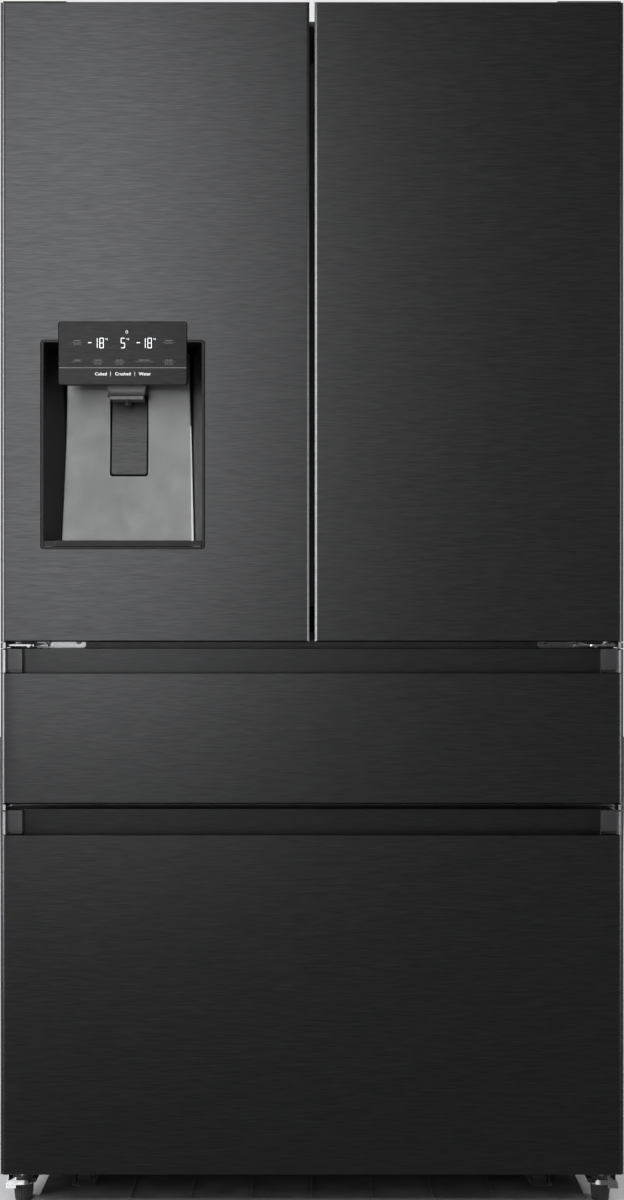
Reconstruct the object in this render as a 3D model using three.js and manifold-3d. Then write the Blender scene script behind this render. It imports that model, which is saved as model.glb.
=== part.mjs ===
// A four-door french door refrigerator with an ice and water dispenser: two hinged doors over two
// drawers. Millimetres, +Z up, the fronts face -Y, the origin is on the floor under the middle.
import * as THREE from "three";
import { mergeVertices } from "three/addons/utils/BufferGeometryUtils.js";
import Module from "manifold-3d";

const wasm = await Module();
wasm.setup();

// Overall
const WIDTH = 912;
const DEPTH = 725;
const PANEL_PROUD = 1;
const REAR_STANDOFF = 8;

// Heights, from the floor up
const FRONT_BOTTOM = 55.5;
const FREEZER_FRONT_HEIGHT = 532.5;
const MIDDLE_FRONT_HEIGHT = 226.5;
const DOOR_HEIGHT = 936.5;
const FRONT_GAP = 10.5;
const DOOR_TOP_STEP = 2;
const COVER_RISE = 13;

// Cabinet
const DOOR_OVERHANG = 2;
const SHEET = 1.5;
const CABINET_BOTTOM = 50;
const SIDE_WALL = 45;
const TOP_WALL = 40;
const REAR_WALL = 62;
const BAY_INSET = 28;
const LINER = 2;
const MACHINE_DEPTH = 188;
const MACHINE_TOP = 300;
const MACHINE_WALL = 45;

// Doors and drawer fronts
const DOOR_THICKNESS = 62;
const MEETING_GAP = 7.5;
const SKIN = 1.2;
const EDGE_RADIUS = 3.5;
const GASKET_DEPTH = 15.5;
const GASKET_WIDTH = 14;
const GASKET_INSET = 10;
const GASKET_HINGE_INSET = 24;
const GASKET_CLEARANCE = 0.5;
const DIKE_DEPTH = 75;
const DIKE_WALL = 14;
const DIKE_CLEARANCE = 10;
const PLATEAU_DEPTH = 20;
const PLATEAU_GAP = 4;

// Drawer handle channel
const CHANNEL_HEIGHT = 35;
const CHANNEL_DEPTH = 25;
const GROOVE_DEPTH = 22;
const LIP = 4.5;
const CAP_BAND = 7.3;
const CAP_WIDTH = 23;
const CAP_SETBACK = 10;
const CAP_SEAM = 0.6;

// Hinges
const PIN_INSET_X = 22;
const PIN_INSET_Y = 25;
const PIN_RADIUS = 4;
const PIN_CLEARANCE = 0.5;
const PIN_ENGAGEMENT = 12;
const PIN_END_GAP = 2;
const HINGE_PLATE = 3;
const HINGE_ARM_WIDTH = 42;
const HINGE_FLANGE_WIDTH = 110;
const HINGE_FLANGE_HEIGHT = 27;
const TOP_HINGE_REACH = 84;
const TOP_HINGE_PLATE = 4;
const HINGE_SIDE_INSET = 4;
const HINGE_NOSE = 15;
const COVER_NOSE = 19;
const COVER_WALL = 2.5;
const COVER_WIDTH = 94;
const COVER_REACH = 94;
const COVER_AIR = 2.5;

// Mullion flap
const FLAP_HALF_WIDTH = 28;
const FLAP_PLATE = 7;
const FLAP_SPINE = 13;
const FLAP_SPINE_WIDTH = 24;
const FLAP_SHORT = 26;
const FLAP_FOLD_CLEARANCE = 4;
const FLAP_GUIDE_WIDTH = 30;
const FLAP_GUIDE_GAP = 2;
const FLAP_SPINE_INSET = 2;

// Dispenser
const NICHE_INSET = 62.9;
const NICHE_WIDTH = 232.8;
const NICHE_HEIGHT = 299.2;
const NICHE_SILL = 139;
const NICHE_DEPTH_LOW = 70;
const NICHE_DEPTH_HIGH = 103;
const NICHE_DRAFT_LOW = 16;
const NICHE_DRAFT_HIGH = 24.5;
const NICHE_RADIUS = 4.5;
const HOUSING_WALL = 3;
const BEZEL = 3;
const SEAM = 0.4;
const PANEL_WIDTH = 187.4;
const PANEL_HEIGHT = 91.7;
const PANEL_SILL = 237.1;
const PANEL_THICKNESS = 14;
const SPOUT_TOP_WIDTH = 58;
const SPOUT_FOOT_WIDTH = 51;
const SPOUT_FRONT = 45;
const SPOUT_LENGTH = 40;
const SPOUT_DROP = 78;
const SPOUT_WALL = 3;
const PADDLE_WIDTH = 53.5;
const PADDLE_LENGTH = 118;
const PADDLE_PLATE = 4;
const PADDLE_AXLE_RADIUS = 2.5;
const PADDLE_SILL = 111.5;
const POCKET_MARGIN = 3;
const POCKET_DEPTH = 106;
const PADDLE_AXLE_END = 2;
const PADDLE_GAP = 1;
const HUMP_WALL = 6;
const TRAY_HEIGHT = 9.5;
const TRAY_SLOTS = 8;
const TRAY_FLOOR = 3;
const TRAY_MARGIN = 1;
const TRAY_SLOT_WIDTH = 14;
const TRAY_RIM = 12;

// Inside the cabinet
const SHELF_GLASS = 5;
const SHELF_TRIM = 14;
const SHELF_FRONT_GAP = 14;
const UPPER_SHELF_RISE = 325;
const CRISPER_HEIGHT = 190;
const CRISPER_SPACE = 20;
const LEDGE = 8;
const BIN_WALL = 3;
const DOOR_BIN_DEPTH = 105;
const DOOR_BIN_HEIGHT = 90;
const UPPER_BIN_RISE = 421.4;
const SHELF_REAR_GAP = 30;
const SHELF_SIDE_GAP = 1;
const CRISPER_GAP = 8;
const PULL_INSET = 80;
const PULL_REACH = 12;
const PULL_DROP = 24;
const PULL_PLATE = 4;
const ICE_ROOM_HEIGHT = 360;
const ICE_ROOM_WALL = 10;

// Drawer slides and bins
const RAIL_HEIGHT = 36;
const RAIL_WIDTH = 14;
const RAIL_WALL = 4;
const RUNNER_CLEARANCE = 1;
const RUNNER_REACH = 7;
const CROSSBAR = 14;
const RAIL_REAR_GAP = 20;
const RAIL_SETBACK = 2;
const TIE_GAP = 4;
const FLANGE_SHORT = 20;
const MIDDLE_RAIL_RISE = 62;
const FREEZER_RAIL_RISE = 335;
const BIN_FLANGE = 8;
const BIN_CLEARANCE = 2;
const MIDDLE_BIN_RISE = 9;
const MIDDLE_BIN_HEIGHT = 136;
const FREEZER_BIN_RISE = 7;
const FREEZER_BIN_HEIGHT = 365;
const FREEZER_BIN_REAR_GAP = 12;

// Cooling
const COMPRESSOR_RADIUS = 80;
const COMPRESSOR_HEIGHT = 168;
const CONDENSER_FAN_RADIUS = 65;
const EVAPORATOR_FAN_RADIUS = 50;
const HUB_RADIUS = 16;
const SHAFT_RADIUS = 3;
const SHAFT_CLEARANCE = 0.4;
const FAN_THICKNESS = 22;
const BLADES = 5;
const COMPRESSOR_INSET = 304;
const COMPRESSOR_SOLE = 10;
const COMPRESSOR_EAR = 25;
const COMPRESSOR_SEAM = 4;
const CONDENSER_FAN_X = 114;
const FAN_BRACKET = 8;
const FAN_MOTOR_RADIUS = 14;
const FAN_MOTOR_GAP = 3;
const FAN_BRACKET_GAP = 27;
const BLADE_WIDTH = 26;
const BLADE_THICKNESS = 2;
const BLADE_TURN = 0.55;
const EVAPORATOR_FINS = 11;
const FIN = 2;
const EVAPORATOR_DEPTH = 48;
const EVAPORATOR_HEIGHT = 70;
const EVAPORATOR_SIDE_GAP = 77;
const EVAPORATOR_GAP = 12;
const EVAPORATOR_RISE = 14;
const EVAPORATOR_SPACE = 68;
const TUBE = 8;
const TUBE_INSET = 10;
const FAN_POST_WIDTH = 30;
const COVER_PLATE = 3;
const COVER_SLOTS = 4;
const COVER_SLOT = [60, 340];
const COVER_SLOT_HEIGHT = 7;
const COVER_SLOT_RISE = 20;
const FAN_TOP_GAP = 15;
const FAN_MOUTH = 2;
const LOUVRE_COLUMNS = 3;
const LOUVRE_ROWS = 5;
const LOUVRE_MARGIN = 40;
const LOUVRE_GAP = 20;
const LOUVRE_RISE = 45;
const LOUVRE_PITCH = 38;
const LOUVRE_HEIGHT = 16;
const LOUVRE_WALL = 3;
const LOUVRE_SETBACK = 2;
const GLAND_INSET = 22;
const GLAND_RISE = 24;
const GLAND_BORE = 4;
const GLAND_FLANGE = 4;
const GLAND_LENGTH = 8;
const COVER_FOOT = 2;
const SPACER_FROM_SIDE = [70, 130];
const SPACER_FROM_TOP = [100, 140];
const GLAND_RADIUS = 9;

// Chassis, feet and rollers
const CHASSIS_HEIGHT = 18;
const CHASSIS_RAIL = 40;
const BRACKET_FORWARD = 40;
const BRACKET_HEIGHT = 6;
const BRACKET_WIDTH = 42;
const FOOT_INSET_X = 24.5;
const FOOT_INSET_Y = 59;
const FOOT_RADIUS = 14.5;
const FOOT_HEIGHT = 26;
const STEM_RADIUS = 5;
const ROLLER_X_INSET = 109;
const ROLLER_Y_INSET = 115;
const REAR_ROLLER_INSET = 60;
const ROLLER_RADIUS = 15;
const ROLLER_WIDTH = 23;
const AXLE_RADIUS = 4;
const EAR = 3;
const EAR_HALF_LENGTH = 14;
const EAR_DROP = 8;
const EAR_PLATE = 5;
const EAR_PLATE_HALF = 22;
const STRUT = 6;
const REAR_RAIL = 12;
const MACHINE_FLOOR = 4;
const BRACKET_LAP = 2;
const FOOT_DRAFT = 2;
const STEM_RISE = 14;

// How far a cutting body reaches past a face, and how far joined bodies run into each other
const OVERLAP = 1;

// Places worked out from the sizes above
const SIDE = WIDTH / 2;
const FRONT = -DEPTH / 2 + PANEL_PROUD;
const BACK = DEPTH / 2;
const DOOR_BACK = FRONT + DOOR_THICKNESS;
const CABINET_FRONT = DOOR_BACK + GASKET_DEPTH + GASKET_CLEARANCE;
const CABINET_BACK = BACK - REAR_STANDOFF;
const CABINET_SIDE = SIDE - DOOR_OVERHANG;
const FREEZER_TOP = FRONT_BOTTOM + FREEZER_FRONT_HEIGHT;
const MIDDLE_BOTTOM = FREEZER_TOP + FRONT_GAP;
const MIDDLE_TOP = MIDDLE_BOTTOM + MIDDLE_FRONT_HEIGHT;
const DOOR_BOTTOM = MIDDLE_TOP + FRONT_GAP;
const DOOR_TOP = DOOR_BOTTOM + DOOR_HEIGHT;
const CABINET_TOP = DOOR_TOP - DOOR_TOP_STEP;
const BAY_SIDE = CABINET_SIDE - SIDE_WALL;
const BAY_BACK = CABINET_BACK - REAR_WALL;
const FOAM_FRONT = CABINET_FRONT + SHEET;
const FOAM_BACK = CABINET_BACK - SHEET;
const MACHINE_FRONT = FOAM_BACK - MACHINE_DEPTH;
const STEP_FRONT = MACHINE_FRONT - MACHINE_WALL;
const STEP_TOP = MACHINE_TOP + MACHINE_WALL;
const FREEZER_BAY = [FRONT_BOTTOM + BAY_INSET, FREEZER_TOP - BAY_INSET];
const MIDDLE_BAY = [MIDDLE_BOTTOM + BAY_INSET, MIDDLE_TOP - BAY_INSET];
const FRIDGE_BAY = [DOOR_BOTTOM + BAY_INSET, CABINET_TOP - TOP_WALL];
const PIN_X = SIDE - PIN_INSET_X;
const PIN_Y = FRONT + PIN_INSET_Y;
const ARM_BOTTOM = MIDDLE_TOP + (FRONT_GAP - HINGE_PLATE) / 2;
const DIKE_OUTER = BAY_SIDE - LINER - DIKE_CLEARANCE;
const DIKE_INNER = FLAP_HALF_WIDTH + FLAP_PLATE + FLAP_SPINE + FLAP_FOLD_CLEARANCE;
const DIKE_LEVELS = [FRIDGE_BAY[0] + LINER + DIKE_CLEARANCE, FRIDGE_BAY[1] - LINER - DIKE_CLEARANCE];
const NICHE_X = -SIDE + NICHE_INSET + NICHE_WIDTH / 2;
const NICHE_BOTTOM = DOOR_BOTTOM + NICHE_SILL;
const NICHE_TOP = NICHE_BOTTOM + NICHE_HEIGHT;
const PANEL_BOTTOM = NICHE_BOTTOM + PANEL_SILL;
const POCKET_BACK = FRONT + POCKET_DEPTH + HOUSING_WALL;
const SHELF_FRONT = DOOR_BACK + DOOR_BIN_DEPTH + SHELF_FRONT_GAP;
const LOWER_SHELF = FRIDGE_BAY[0] + LINER + CRISPER_HEIGHT + CRISPER_SPACE;
const UPPER_SHELF = LOWER_SHELF + UPPER_SHELF_RISE;
const MIDDLE_RAIL = MIDDLE_BAY[0] + MIDDLE_RAIL_RISE;
const FREEZER_RAIL = FREEZER_BAY[0] + FREEZER_RAIL_RISE;
const EVAPORATOR_FRONT = BAY_BACK - EVAPORATOR_SPACE;
const FAN_Z = FREEZER_BAY[1] - EVAPORATOR_FAN_RADIUS - FAN_TOP_GAP;
const MACHINE_Y = (MACHINE_FRONT + FOAM_BACK) / 2;
const MACHINE_MIDDLE = (CABINET_BOTTOM + MACHINE_TOP) / 2;
const HINGE_OUTER = CABINET_SIDE - HINGE_SIDE_INSET;
const RUNNER_X = BAY_SIDE - LINER - RAIL_WIDTH;
const MIDDLE_RAIL_REAR = BAY_BACK - LINER - RAIL_REAR_GAP;
const FREEZER_RAIL_REAR = EVAPORATOR_FRONT - RAIL_SETBACK;
const SIDES = [[-1, "left"], [1, "right"]];

const finish = {
  blackSteel: new THREE.MeshStandardMaterial({ color: 0x3c3d3f, roughness: 0.38, metalness: 0.9 }),
  greyPaint: new THREE.MeshStandardMaterial({ color: 0x4a4b4d, roughness: 0.5, metalness: 0.3 }),
  zinc: new THREE.MeshStandardMaterial({ color: 0xb9bcc0, roughness: 0.35, metalness: 0.9 }),
  darkPlastic: new THREE.MeshStandardMaterial({ color: 0x2b2c2e, roughness: 0.55, metalness: 0 }),
  whitePlastic: new THREE.MeshStandardMaterial({ color: 0xe9ebec, roughness: 0.45, metalness: 0 }),
  clearPlastic: new THREE.MeshStandardMaterial({ color: 0xdfe6ea, roughness: 0.15, metalness: 0 }),
  glass: new THREE.MeshStandardMaterial({ color: 0xcfdcdc, roughness: 0.08, metalness: 0 }),
  foam: new THREE.MeshStandardMaterial({ color: 0xe6d9a8, roughness: 0.9, metalness: 0 }),
  rubber: new THREE.MeshStandardMaterial({ color: 0x26272a, roughness: 0.75, metalness: 0 }),
  panelGlass: new THREE.MeshStandardMaterial({ color: 0x1b1c1e, roughness: 0.2, metalness: 0.2 }),
  nicheMetal: new THREE.MeshStandardMaterial({ color: 0x7b7d80, roughness: 0.4, metalness: 0.7 }),
  castBlack: new THREE.MeshStandardMaterial({ color: 0x141415, roughness: 0.6, metalness: 0.4 }),
  aluminium: new THREE.MeshStandardMaterial({ color: 0xc6c9cc, roughness: 0.4, metalness: 0.9 }),
};

const refrigerator = new THREE.Group();

// ---------------------------------------------------------------- solids

function solid(geometry) {
  geometry.deleteAttribute("normal");
  geometry.deleteAttribute("uv");
  const merged = mergeVertices(geometry, 1e-3);
  return new wasm.Manifold(
    new wasm.Mesh({
      numProp: 3,
      vertProperties: merged.attributes.position.array,
      triVerts: new Uint32Array(merged.index.array),
    }),
  );
}

function geometryOf(body) {
  const mesh = body.getMesh();
  const geometry = new THREE.BufferGeometry();
  geometry.setAttribute("position", new THREE.BufferAttribute(mesh.vertProperties, 3));
  geometry.setIndex(new THREE.BufferAttribute(mesh.triVerts, 1));
  const flat = geometry.toNonIndexed();
  flat.computeVertexNormals();
  return flat;
}

function piece(group, name, body, material, place = [0, 0, 0]) {
  const mesh = new THREE.Mesh(geometryOf(body), material);
  mesh.name = name;
  mesh.position.set(...place);
  group.add(mesh);
  return mesh;
}

// A box between two ends on each axis, whichever end is the lower.
function box(x, y, z) {
  const size = [x, y, z].map(([a, b]) => Math.abs(b - a));
  const middle = [x, y, z].map(([a, b]) => (a + b) / 2);
  const geometry = new THREE.BoxGeometry(...size);
  geometry.translate(...middle);
  return solid(geometry);
}

// The same span with both ends moved out by a distance.
const grown = ([a, b], by) => [a - by, b + by];

const past = (span) => grown(span, OVERLAP);

function join(bodies) {
  return bodies.reduce((sum, body) => sum.add(body));
}

// The box less another that is smaller by the wall all round and open towards one side.
function shell(x, y, z, wall, open) {
  const inner = [x, y, z].map(([a, b]) => [Math.min(a, b) + wall, Math.max(a, b) - wall]);
  const axis = "xyz".indexOf(open[1]);
  const end = open[0] === "+" ? 1 : 0;
  inner[axis][end] += (end === 1 ? 2 : -2) * wall;
  return box(x, y, z).subtract(box(...inner));
}

// A ring of square section in the XZ plane.
function ring(x, y, z, width) {
  const hole = [x, z].map(([a, b]) => [Math.min(a, b) + width, Math.max(a, b) - width]);
  return box(x, y, z).subtract(box(hole[0], past(y), hole[1]));
}

function cylinder(radius, ends, axis, centre, sides = 24) {
  const geometry = new THREE.CylinderGeometry(radius, radius, Math.abs(ends[1] - ends[0]), sides);
  const middle = (ends[0] + ends[1]) / 2;
  if (axis === "x") geometry.rotateZ(Math.PI / 2).translate(middle, centre[0], centre[1]);
  if (axis === "y") geometry.translate(centre[0], middle, centre[1]);
  if (axis === "z") geometry.rotateX(Math.PI / 2).translate(centre[0], centre[1], middle);
  return solid(geometry);
}

// A solid of revolution about Z, from [radius, height] points that start and end on the axis.
function turned(points, sides = 24) {
  const profile = points.map(([radius, height]) => new THREE.Vector2(radius, height));
  return solid(new THREE.LatheGeometry(profile, sides).rotateX(Math.PI / 2));
}

function roundedOutline(x, y, radii) {
  const [x0, x1] = x;
  const [y0, y1] = y;
  const [front, rear] = radii;
  const outline = new THREE.Shape();
  outline.moveTo(x0, y0 + front);
  outline.absarc(x0 + front, y0 + front, front, Math.PI, 1.5 * Math.PI);
  outline.absarc(x1 - front, y0 + front, front, 1.5 * Math.PI, 2 * Math.PI);
  if (rear > 0) {
    outline.absarc(x1 - rear, y1 - rear, rear, 0, 0.5 * Math.PI);
    outline.absarc(x0 + rear, y1 - rear, rear, 0.5 * Math.PI, Math.PI);
  } else {
    outline.lineTo(x1, y1);
    outline.lineTo(x0, y1);
  }
  outline.closePath();
  return outline;
}

// A block whose two front upright edges are rounded.
function frontBlock(x, y, z) {
  const outline = roundedOutline(x, y, [EDGE_RADIUS, 0]);
  const options = { depth: z[1] - z[0], bevelEnabled: false, curveSegments: 3 };
  return solid(new THREE.ExtrudeGeometry(outline, options).translate(0, 0, z[0]));
}

// A plate in the XZ plane with four rounded corners.
function plate(x, y, z, radius) {
  const outline = roundedOutline(x, z, [radius, radius]);
  const options = { depth: y[1] - y[0], bevelEnabled: false, curveSegments: 3 };
  const geometry = new THREE.ExtrudeGeometry(outline, options).rotateX(Math.PI / 2);
  return solid(geometry.translate(0, y[1], 0));
}

// A box whose far corners are moved by a rule, for drafted hollows and chutes.
function drafted(x, y, z, move) {
  const size = [x, y, z].map(([a, b]) => b - a);
  const middle = [x, y, z].map(([a, b]) => (a + b) / 2);
  const geometry = new THREE.BoxGeometry(...size);
  const position = geometry.attributes.position;
  for (let i = 0; i < position.count; i++) {
    const side = Math.sign(position.getX(i));
    const rear = position.getY(i) > 0;
    const upper = position.getZ(i) > 0;
    const moved = move(side, rear, upper);
    position.setX(i, position.getX(i) + moved[0]);
    position.setY(i, position.getY(i) + moved[1]);
  }
  return solid(geometry.translate(...middle));
}

// ---------------------------------------------------------------- cabinet

function addCabinet(group) {
  const foamSide = CABINET_SIDE - SHEET;
  const foamBottom = CABINET_BOTTOM + SHEET;
  const foamTop = CABINET_TOP - SHEET;
  const bays = [FREEZER_BAY, MIDDLE_BAY, FRIDGE_BAY];
  const inner = (bay) => [bay[0] + LINER, bay[1] - LINER];
  const mouth = BAY_SIDE - LINER;

  const fullX = [-CABINET_SIDE, CABINET_SIDE];
  let wrap = box(fullX, [CABINET_FRONT, CABINET_BACK], [CABINET_BOTTOM, CABINET_TOP]);
  wrap = wrap.subtract(box([-foamSide, foamSide], [FOAM_FRONT, BACK], [foamBottom, foamTop]));
  wrap = wrap.subtract(box([-foamSide, foamSide], [MACHINE_FRONT, BACK], [0, foamTop]));
  for (const bay of bays)
    wrap = wrap.subtract(box([-mouth, mouth], past([CABINET_FRONT, FOAM_FRONT]), inner(bay)));
  piece(group, "cabinet_shell", wrap, finish.greyPaint);

  const hollow = (bay, rear = BAY_BACK) => box([-BAY_SIDE, BAY_SIDE], [FOAM_FRONT, rear], bay);
  const rearFace = BAY_BACK - LINER;
  const joiningZ = [FREEZER_BAY[0], MIDDLE_BAY[1]];
  const joiningWall = box([-BAY_SIDE, BAY_SIDE], [rearFace, BAY_BACK], joiningZ);
  const step = box([-SIDE, SIDE], [STEP_FRONT, BACK], [0, STEP_TOP]);
  const lower = hollow(FREEZER_BAY).add(hollow(MIDDLE_BAY)).add(joiningWall).subtract(step);
  const machineRoom = box([-foamSide, foamSide], [MACHINE_FRONT, FOAM_BACK], [foamBottom, MACHINE_TOP]);
  const foam = box([-foamSide, foamSide], [FOAM_FRONT, FOAM_BACK], [foamBottom, foamTop])
    .subtract(hollow(FRIDGE_BAY))
    .subtract(lower)
    .subtract(machineRoom);
  piece(group, "insulation_foam", foam, finish.foam);

  const room = (bay, rear) => box([-mouth, mouth], [CABINET_FRONT, rear], inner(bay));
  const innerStep = box([-SIDE, SIDE], [STEP_FRONT - LINER, BACK], [0, STEP_TOP + LINER]);
  const lowerLiner = lower
    .subtract(room(MIDDLE_BAY, rearFace))
    .subtract(room(FREEZER_BAY, rearFace).subtract(innerStep));
  piece(group, "lower_liner", lowerLiner, finish.whitePlastic);

  let liner = hollow(FRIDGE_BAY).subtract(room(FRIDGE_BAY, rearFace));
  for (const side of [-1, 1])
    for (const level of [LOWER_SHELF, UPPER_SHELF]) {
      const ledgeX = [side * (mouth - LEDGE), side * mouth];
      const ledge = box(ledgeX, [SHELF_FRONT, rearFace], [level - LEDGE, level]);
      liner = liner.add(ledge);
    }
  const guideX = [-FLAP_GUIDE_WIDTH / 2, FLAP_GUIDE_WIDTH / 2];
  const guideY = [FOAM_FRONT, FOAM_FRONT + FLAP_GUIDE_WIDTH];
  const guideZ = [FRIDGE_BAY[1] - FLAP_SHORT + FLAP_GUIDE_GAP, FRIDGE_BAY[1]];
  liner = liner.add(box(guideX, guideY, guideZ));
  piece(group, "fridge_liner", liner, finish.whitePlastic);

  let panel = box([-foamSide, foamSide], [FOAM_BACK, CABINET_BACK], [MACHINE_TOP, foamTop]);
  for (const side of [-1, 1]) {
    const x = SPACER_FROM_SIDE.map((inset) => side * (SIDE - inset));
    const z = SPACER_FROM_TOP.map((drop) => foamTop - drop);
    panel = panel.add(box(x, [CABINET_BACK - OVERLAP, BACK], z));
  }
  piece(group, "back_panel", panel, finish.greyPaint);
}

// ---------------------------------------------------------------- machine compartment

function addMachineRoom(group) {
  addRearCover(group);

  const r = COMPRESSOR_RADIUS;
  const h = COMPRESSOR_HEIGHT;
  const seam = h / 2;
  const can = turned([
    [0, COMPRESSOR_SOLE - OVERLAP],
    [r * 0.8, COMPRESSOR_SOLE - OVERLAP],
    [r, h * 0.2],
    [r, seam],
    [r + COMPRESSOR_SEAM, seam],
    [r + COMPRESSOR_SEAM, seam + 2 * COMPRESSOR_SEAM],
    [r, seam + 2 * COMPRESSOR_SEAM],
    [r * 0.96, h * 0.8],
    [r * 0.75, h * 0.95],
    [0, h],
  ]);
  const soleX = r + COMPRESSOR_EAR;
  const soleY = r * 0.8;
  const sole = box([-soleX, soleX], [-soleY, soleY], [0, COMPRESSOR_SOLE]);
  const place = [COMPRESSOR_INSET - SIDE, MACHINE_Y, CABINET_BOTTOM];
  piece(group, "compressor", can.add(sole), finish.castBlack, place);

  const spin = new THREE.Group();
  spin.position.set(CONDENSER_FAN_X, MACHINE_Y, MACHINE_MIDDLE);
  spin.rotation.y = Math.PI / 2;
  piece(spin, "condenser_fan", fanWheel(CONDENSER_FAN_RADIUS), finish.darkPlastic);
  group.add(spin);
}

// The board that closes the machine compartment, with hooded louvres and the cord's gland.
function addRearCover(group) {
  const side = CABINET_SIDE - SHEET - SEAM;
  const wall = [FOAM_BACK, CABINET_BACK];
  let cover = box([-side, side], wall, [CABINET_BOTTOM + COVER_FOOT, MACHINE_TOP - SEAM]);
  const gaps = 2 * LOUVRE_MARGIN + (LOUVRE_COLUMNS - 1) * LOUVRE_GAP;
  const length = (2 * side - gaps) / LOUVRE_COLUMNS;
  const hoodBack = BACK - LOUVRE_SETBACK;
  for (let column = 0; column < LOUVRE_COLUMNS; column++)
    for (let row = 0; row < LOUVRE_ROWS; row++) {
      const left = -side + LOUVRE_MARGIN + column * (length + LOUVRE_GAP);
      const low = CABINET_BOTTOM + LOUVRE_RISE + row * LOUVRE_PITCH;
      const x = [left, left + length];
      const hood = box(x, [FOAM_BACK, hoodBack], [low, low + LOUVRE_HEIGHT]);
      const mouthY = [FOAM_BACK - OVERLAP, hoodBack - LOUVRE_WALL];
      const mouthZ = [low - OVERLAP, low + LOUVRE_HEIGHT - LOUVRE_WALL];
      cover = cover.add(hood).subtract(box(grown(x, -LOUVRE_WALL), mouthY, mouthZ));
    }
  const centre = [side - GLAND_INSET, CABINET_BOTTOM + GLAND_RISE];
  cover = cover.subtract(cylinder(GLAND_RADIUS + SEAM, past(wall), "y", centre));
  piece(group, "rear_cover", cover, finish.castBlack);

  const shoulder = CABINET_BACK + SEAM;
  const end = CABINET_BACK + GLAND_FLANGE;
  let gland = cylinder(GLAND_RADIUS, [FOAM_BACK - GLAND_LENGTH, shoulder], "y", centre);
  gland = gland.add(cylinder(GLAND_RADIUS + GLAND_FLANGE, [shoulder, end], "y", centre));
  const bore = [FOAM_BACK - GLAND_LENGTH / 2, end + OVERLAP];
  gland = gland.subtract(cylinder(GLAND_BORE, bore, "y", centre, 12));
  piece(group, "cord_gland", gland, finish.rubber);
}

// A fan wheel about Z, with its hub on the origin and its blades turned to the flow.
function fanWheel(radius) {
  const half = FAN_THICKNESS / 2;
  let wheel = cylinder(HUB_RADIUS, [-half, half], "z", [0, 0]);
  for (let i = 0; i < BLADES; i++) {
    const root = HUB_RADIUS - 3 * OVERLAP;
    const blade = new THREE.BoxGeometry(radius - root, BLADE_WIDTH, BLADE_THICKNESS);
    blade.rotateX(BLADE_TURN);
    blade.translate((radius + root) / 2, 0, 0);
    blade.rotateZ((i * 2 * Math.PI) / BLADES);
    wheel = wheel.add(solid(blade));
  }
  const bore = cylinder(SHAFT_RADIUS + SHAFT_CLEARANCE, past([-half, half]), "z", [0, 0], 16);
  return wheel.subtract(bore);
}

// ---------------------------------------------------------------- chassis, feet and rollers

function addChassis(group) {
  const low = CABINET_BOTTOM - CHASSIS_HEIGHT;
  const levels = [low, CABINET_BOTTOM];
  const fullX = [-CABINET_SIDE, CABINET_SIDE];
  const bracketTop = low + BRACKET_LAP;
  const footX = SIDE - FOOT_INSET_X;
  const footY = FRONT + FOOT_INSET_Y;
  const rollerX = SIDE - ROLLER_X_INSET;
  const rollerYs = [FRONT + ROLLER_Y_INSET, CABINET_BACK - REAR_ROLLER_INSET];
  const floorX = grown(fullX, -SHEET);

  const parts = [
    box(fullX, [CABINET_FRONT, CABINET_FRONT + CHASSIS_RAIL], levels),
    box(fullX, [CABINET_BACK - REAR_RAIL, CABINET_BACK], levels),
    box(floorX, [MACHINE_FRONT, FOAM_BACK], [CABINET_BOTTOM - MACHINE_FLOOR, CABINET_BOTTOM]),
    ...condenserFanMount(),
  ];
  for (const [side] of SIDES) {
    const rail = [side * (CABINET_SIDE - CHASSIS_RAIL), side * CABINET_SIDE];
    parts.push(box(rail, [CABINET_FRONT, CABINET_BACK], levels));
    const bracketX = [side * (CABINET_SIDE - BRACKET_WIDTH), side * CABINET_SIDE];
    const bracketY = [FRONT + BRACKET_FORWARD, CABINET_FRONT + CHASSIS_RAIL];
    parts.push(box(bracketX, bracketY, [bracketTop - BRACKET_HEIGHT, bracketTop]));
    for (const y of rollerYs) parts.push(...rollerMount(side * rollerX, y, low));
  }
  let frame = join(parts);
  for (const [side] of SIDES) {
    const stemHole = [0, CABINET_BOTTOM + OVERLAP];
    const place = [side * footX, footY];
    frame = frame.subtract(cylinder(STEM_RADIUS + SEAM, stemHole, "z", place));
  }
  piece(group, "base_frame", frame, finish.castBlack);

  const foot = turned([
    [0, 0],
    [FOOT_RADIUS - FOOT_DRAFT, 0],
    [FOOT_RADIUS, FOOT_HEIGHT * 0.6],
    [FOOT_RADIUS, FOOT_HEIGHT],
    [STEM_RADIUS, FOOT_HEIGHT],
    [STEM_RADIUS, bracketTop + STEM_RISE],
    [0, bracketTop + STEM_RISE],
  ]);
  const tread = [-ROLLER_WIDTH / 2, ROLLER_WIDTH / 2];
  const bore = cylinder(AXLE_RADIUS + SEAM, past(tread), "x", [0, 0], 16);
  const roller = cylinder(ROLLER_RADIUS, tread, "x", [0, 0], 28).subtract(bore);
  for (const [side, word] of SIDES) {
    const x = side * rollerX;
    piece(group, "foot_" + word, foot, finish.darkPlastic, [side * footX, footY, 0]);
    piece(group, "roller_front_" + word, roller, finish.rubber, [x, rollerYs[0], ROLLER_RADIUS]);
    piece(group, "roller_rear_" + word, roller, finish.rubber, [x, rollerYs[1], ROLLER_RADIUS]);
  }
}

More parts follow.
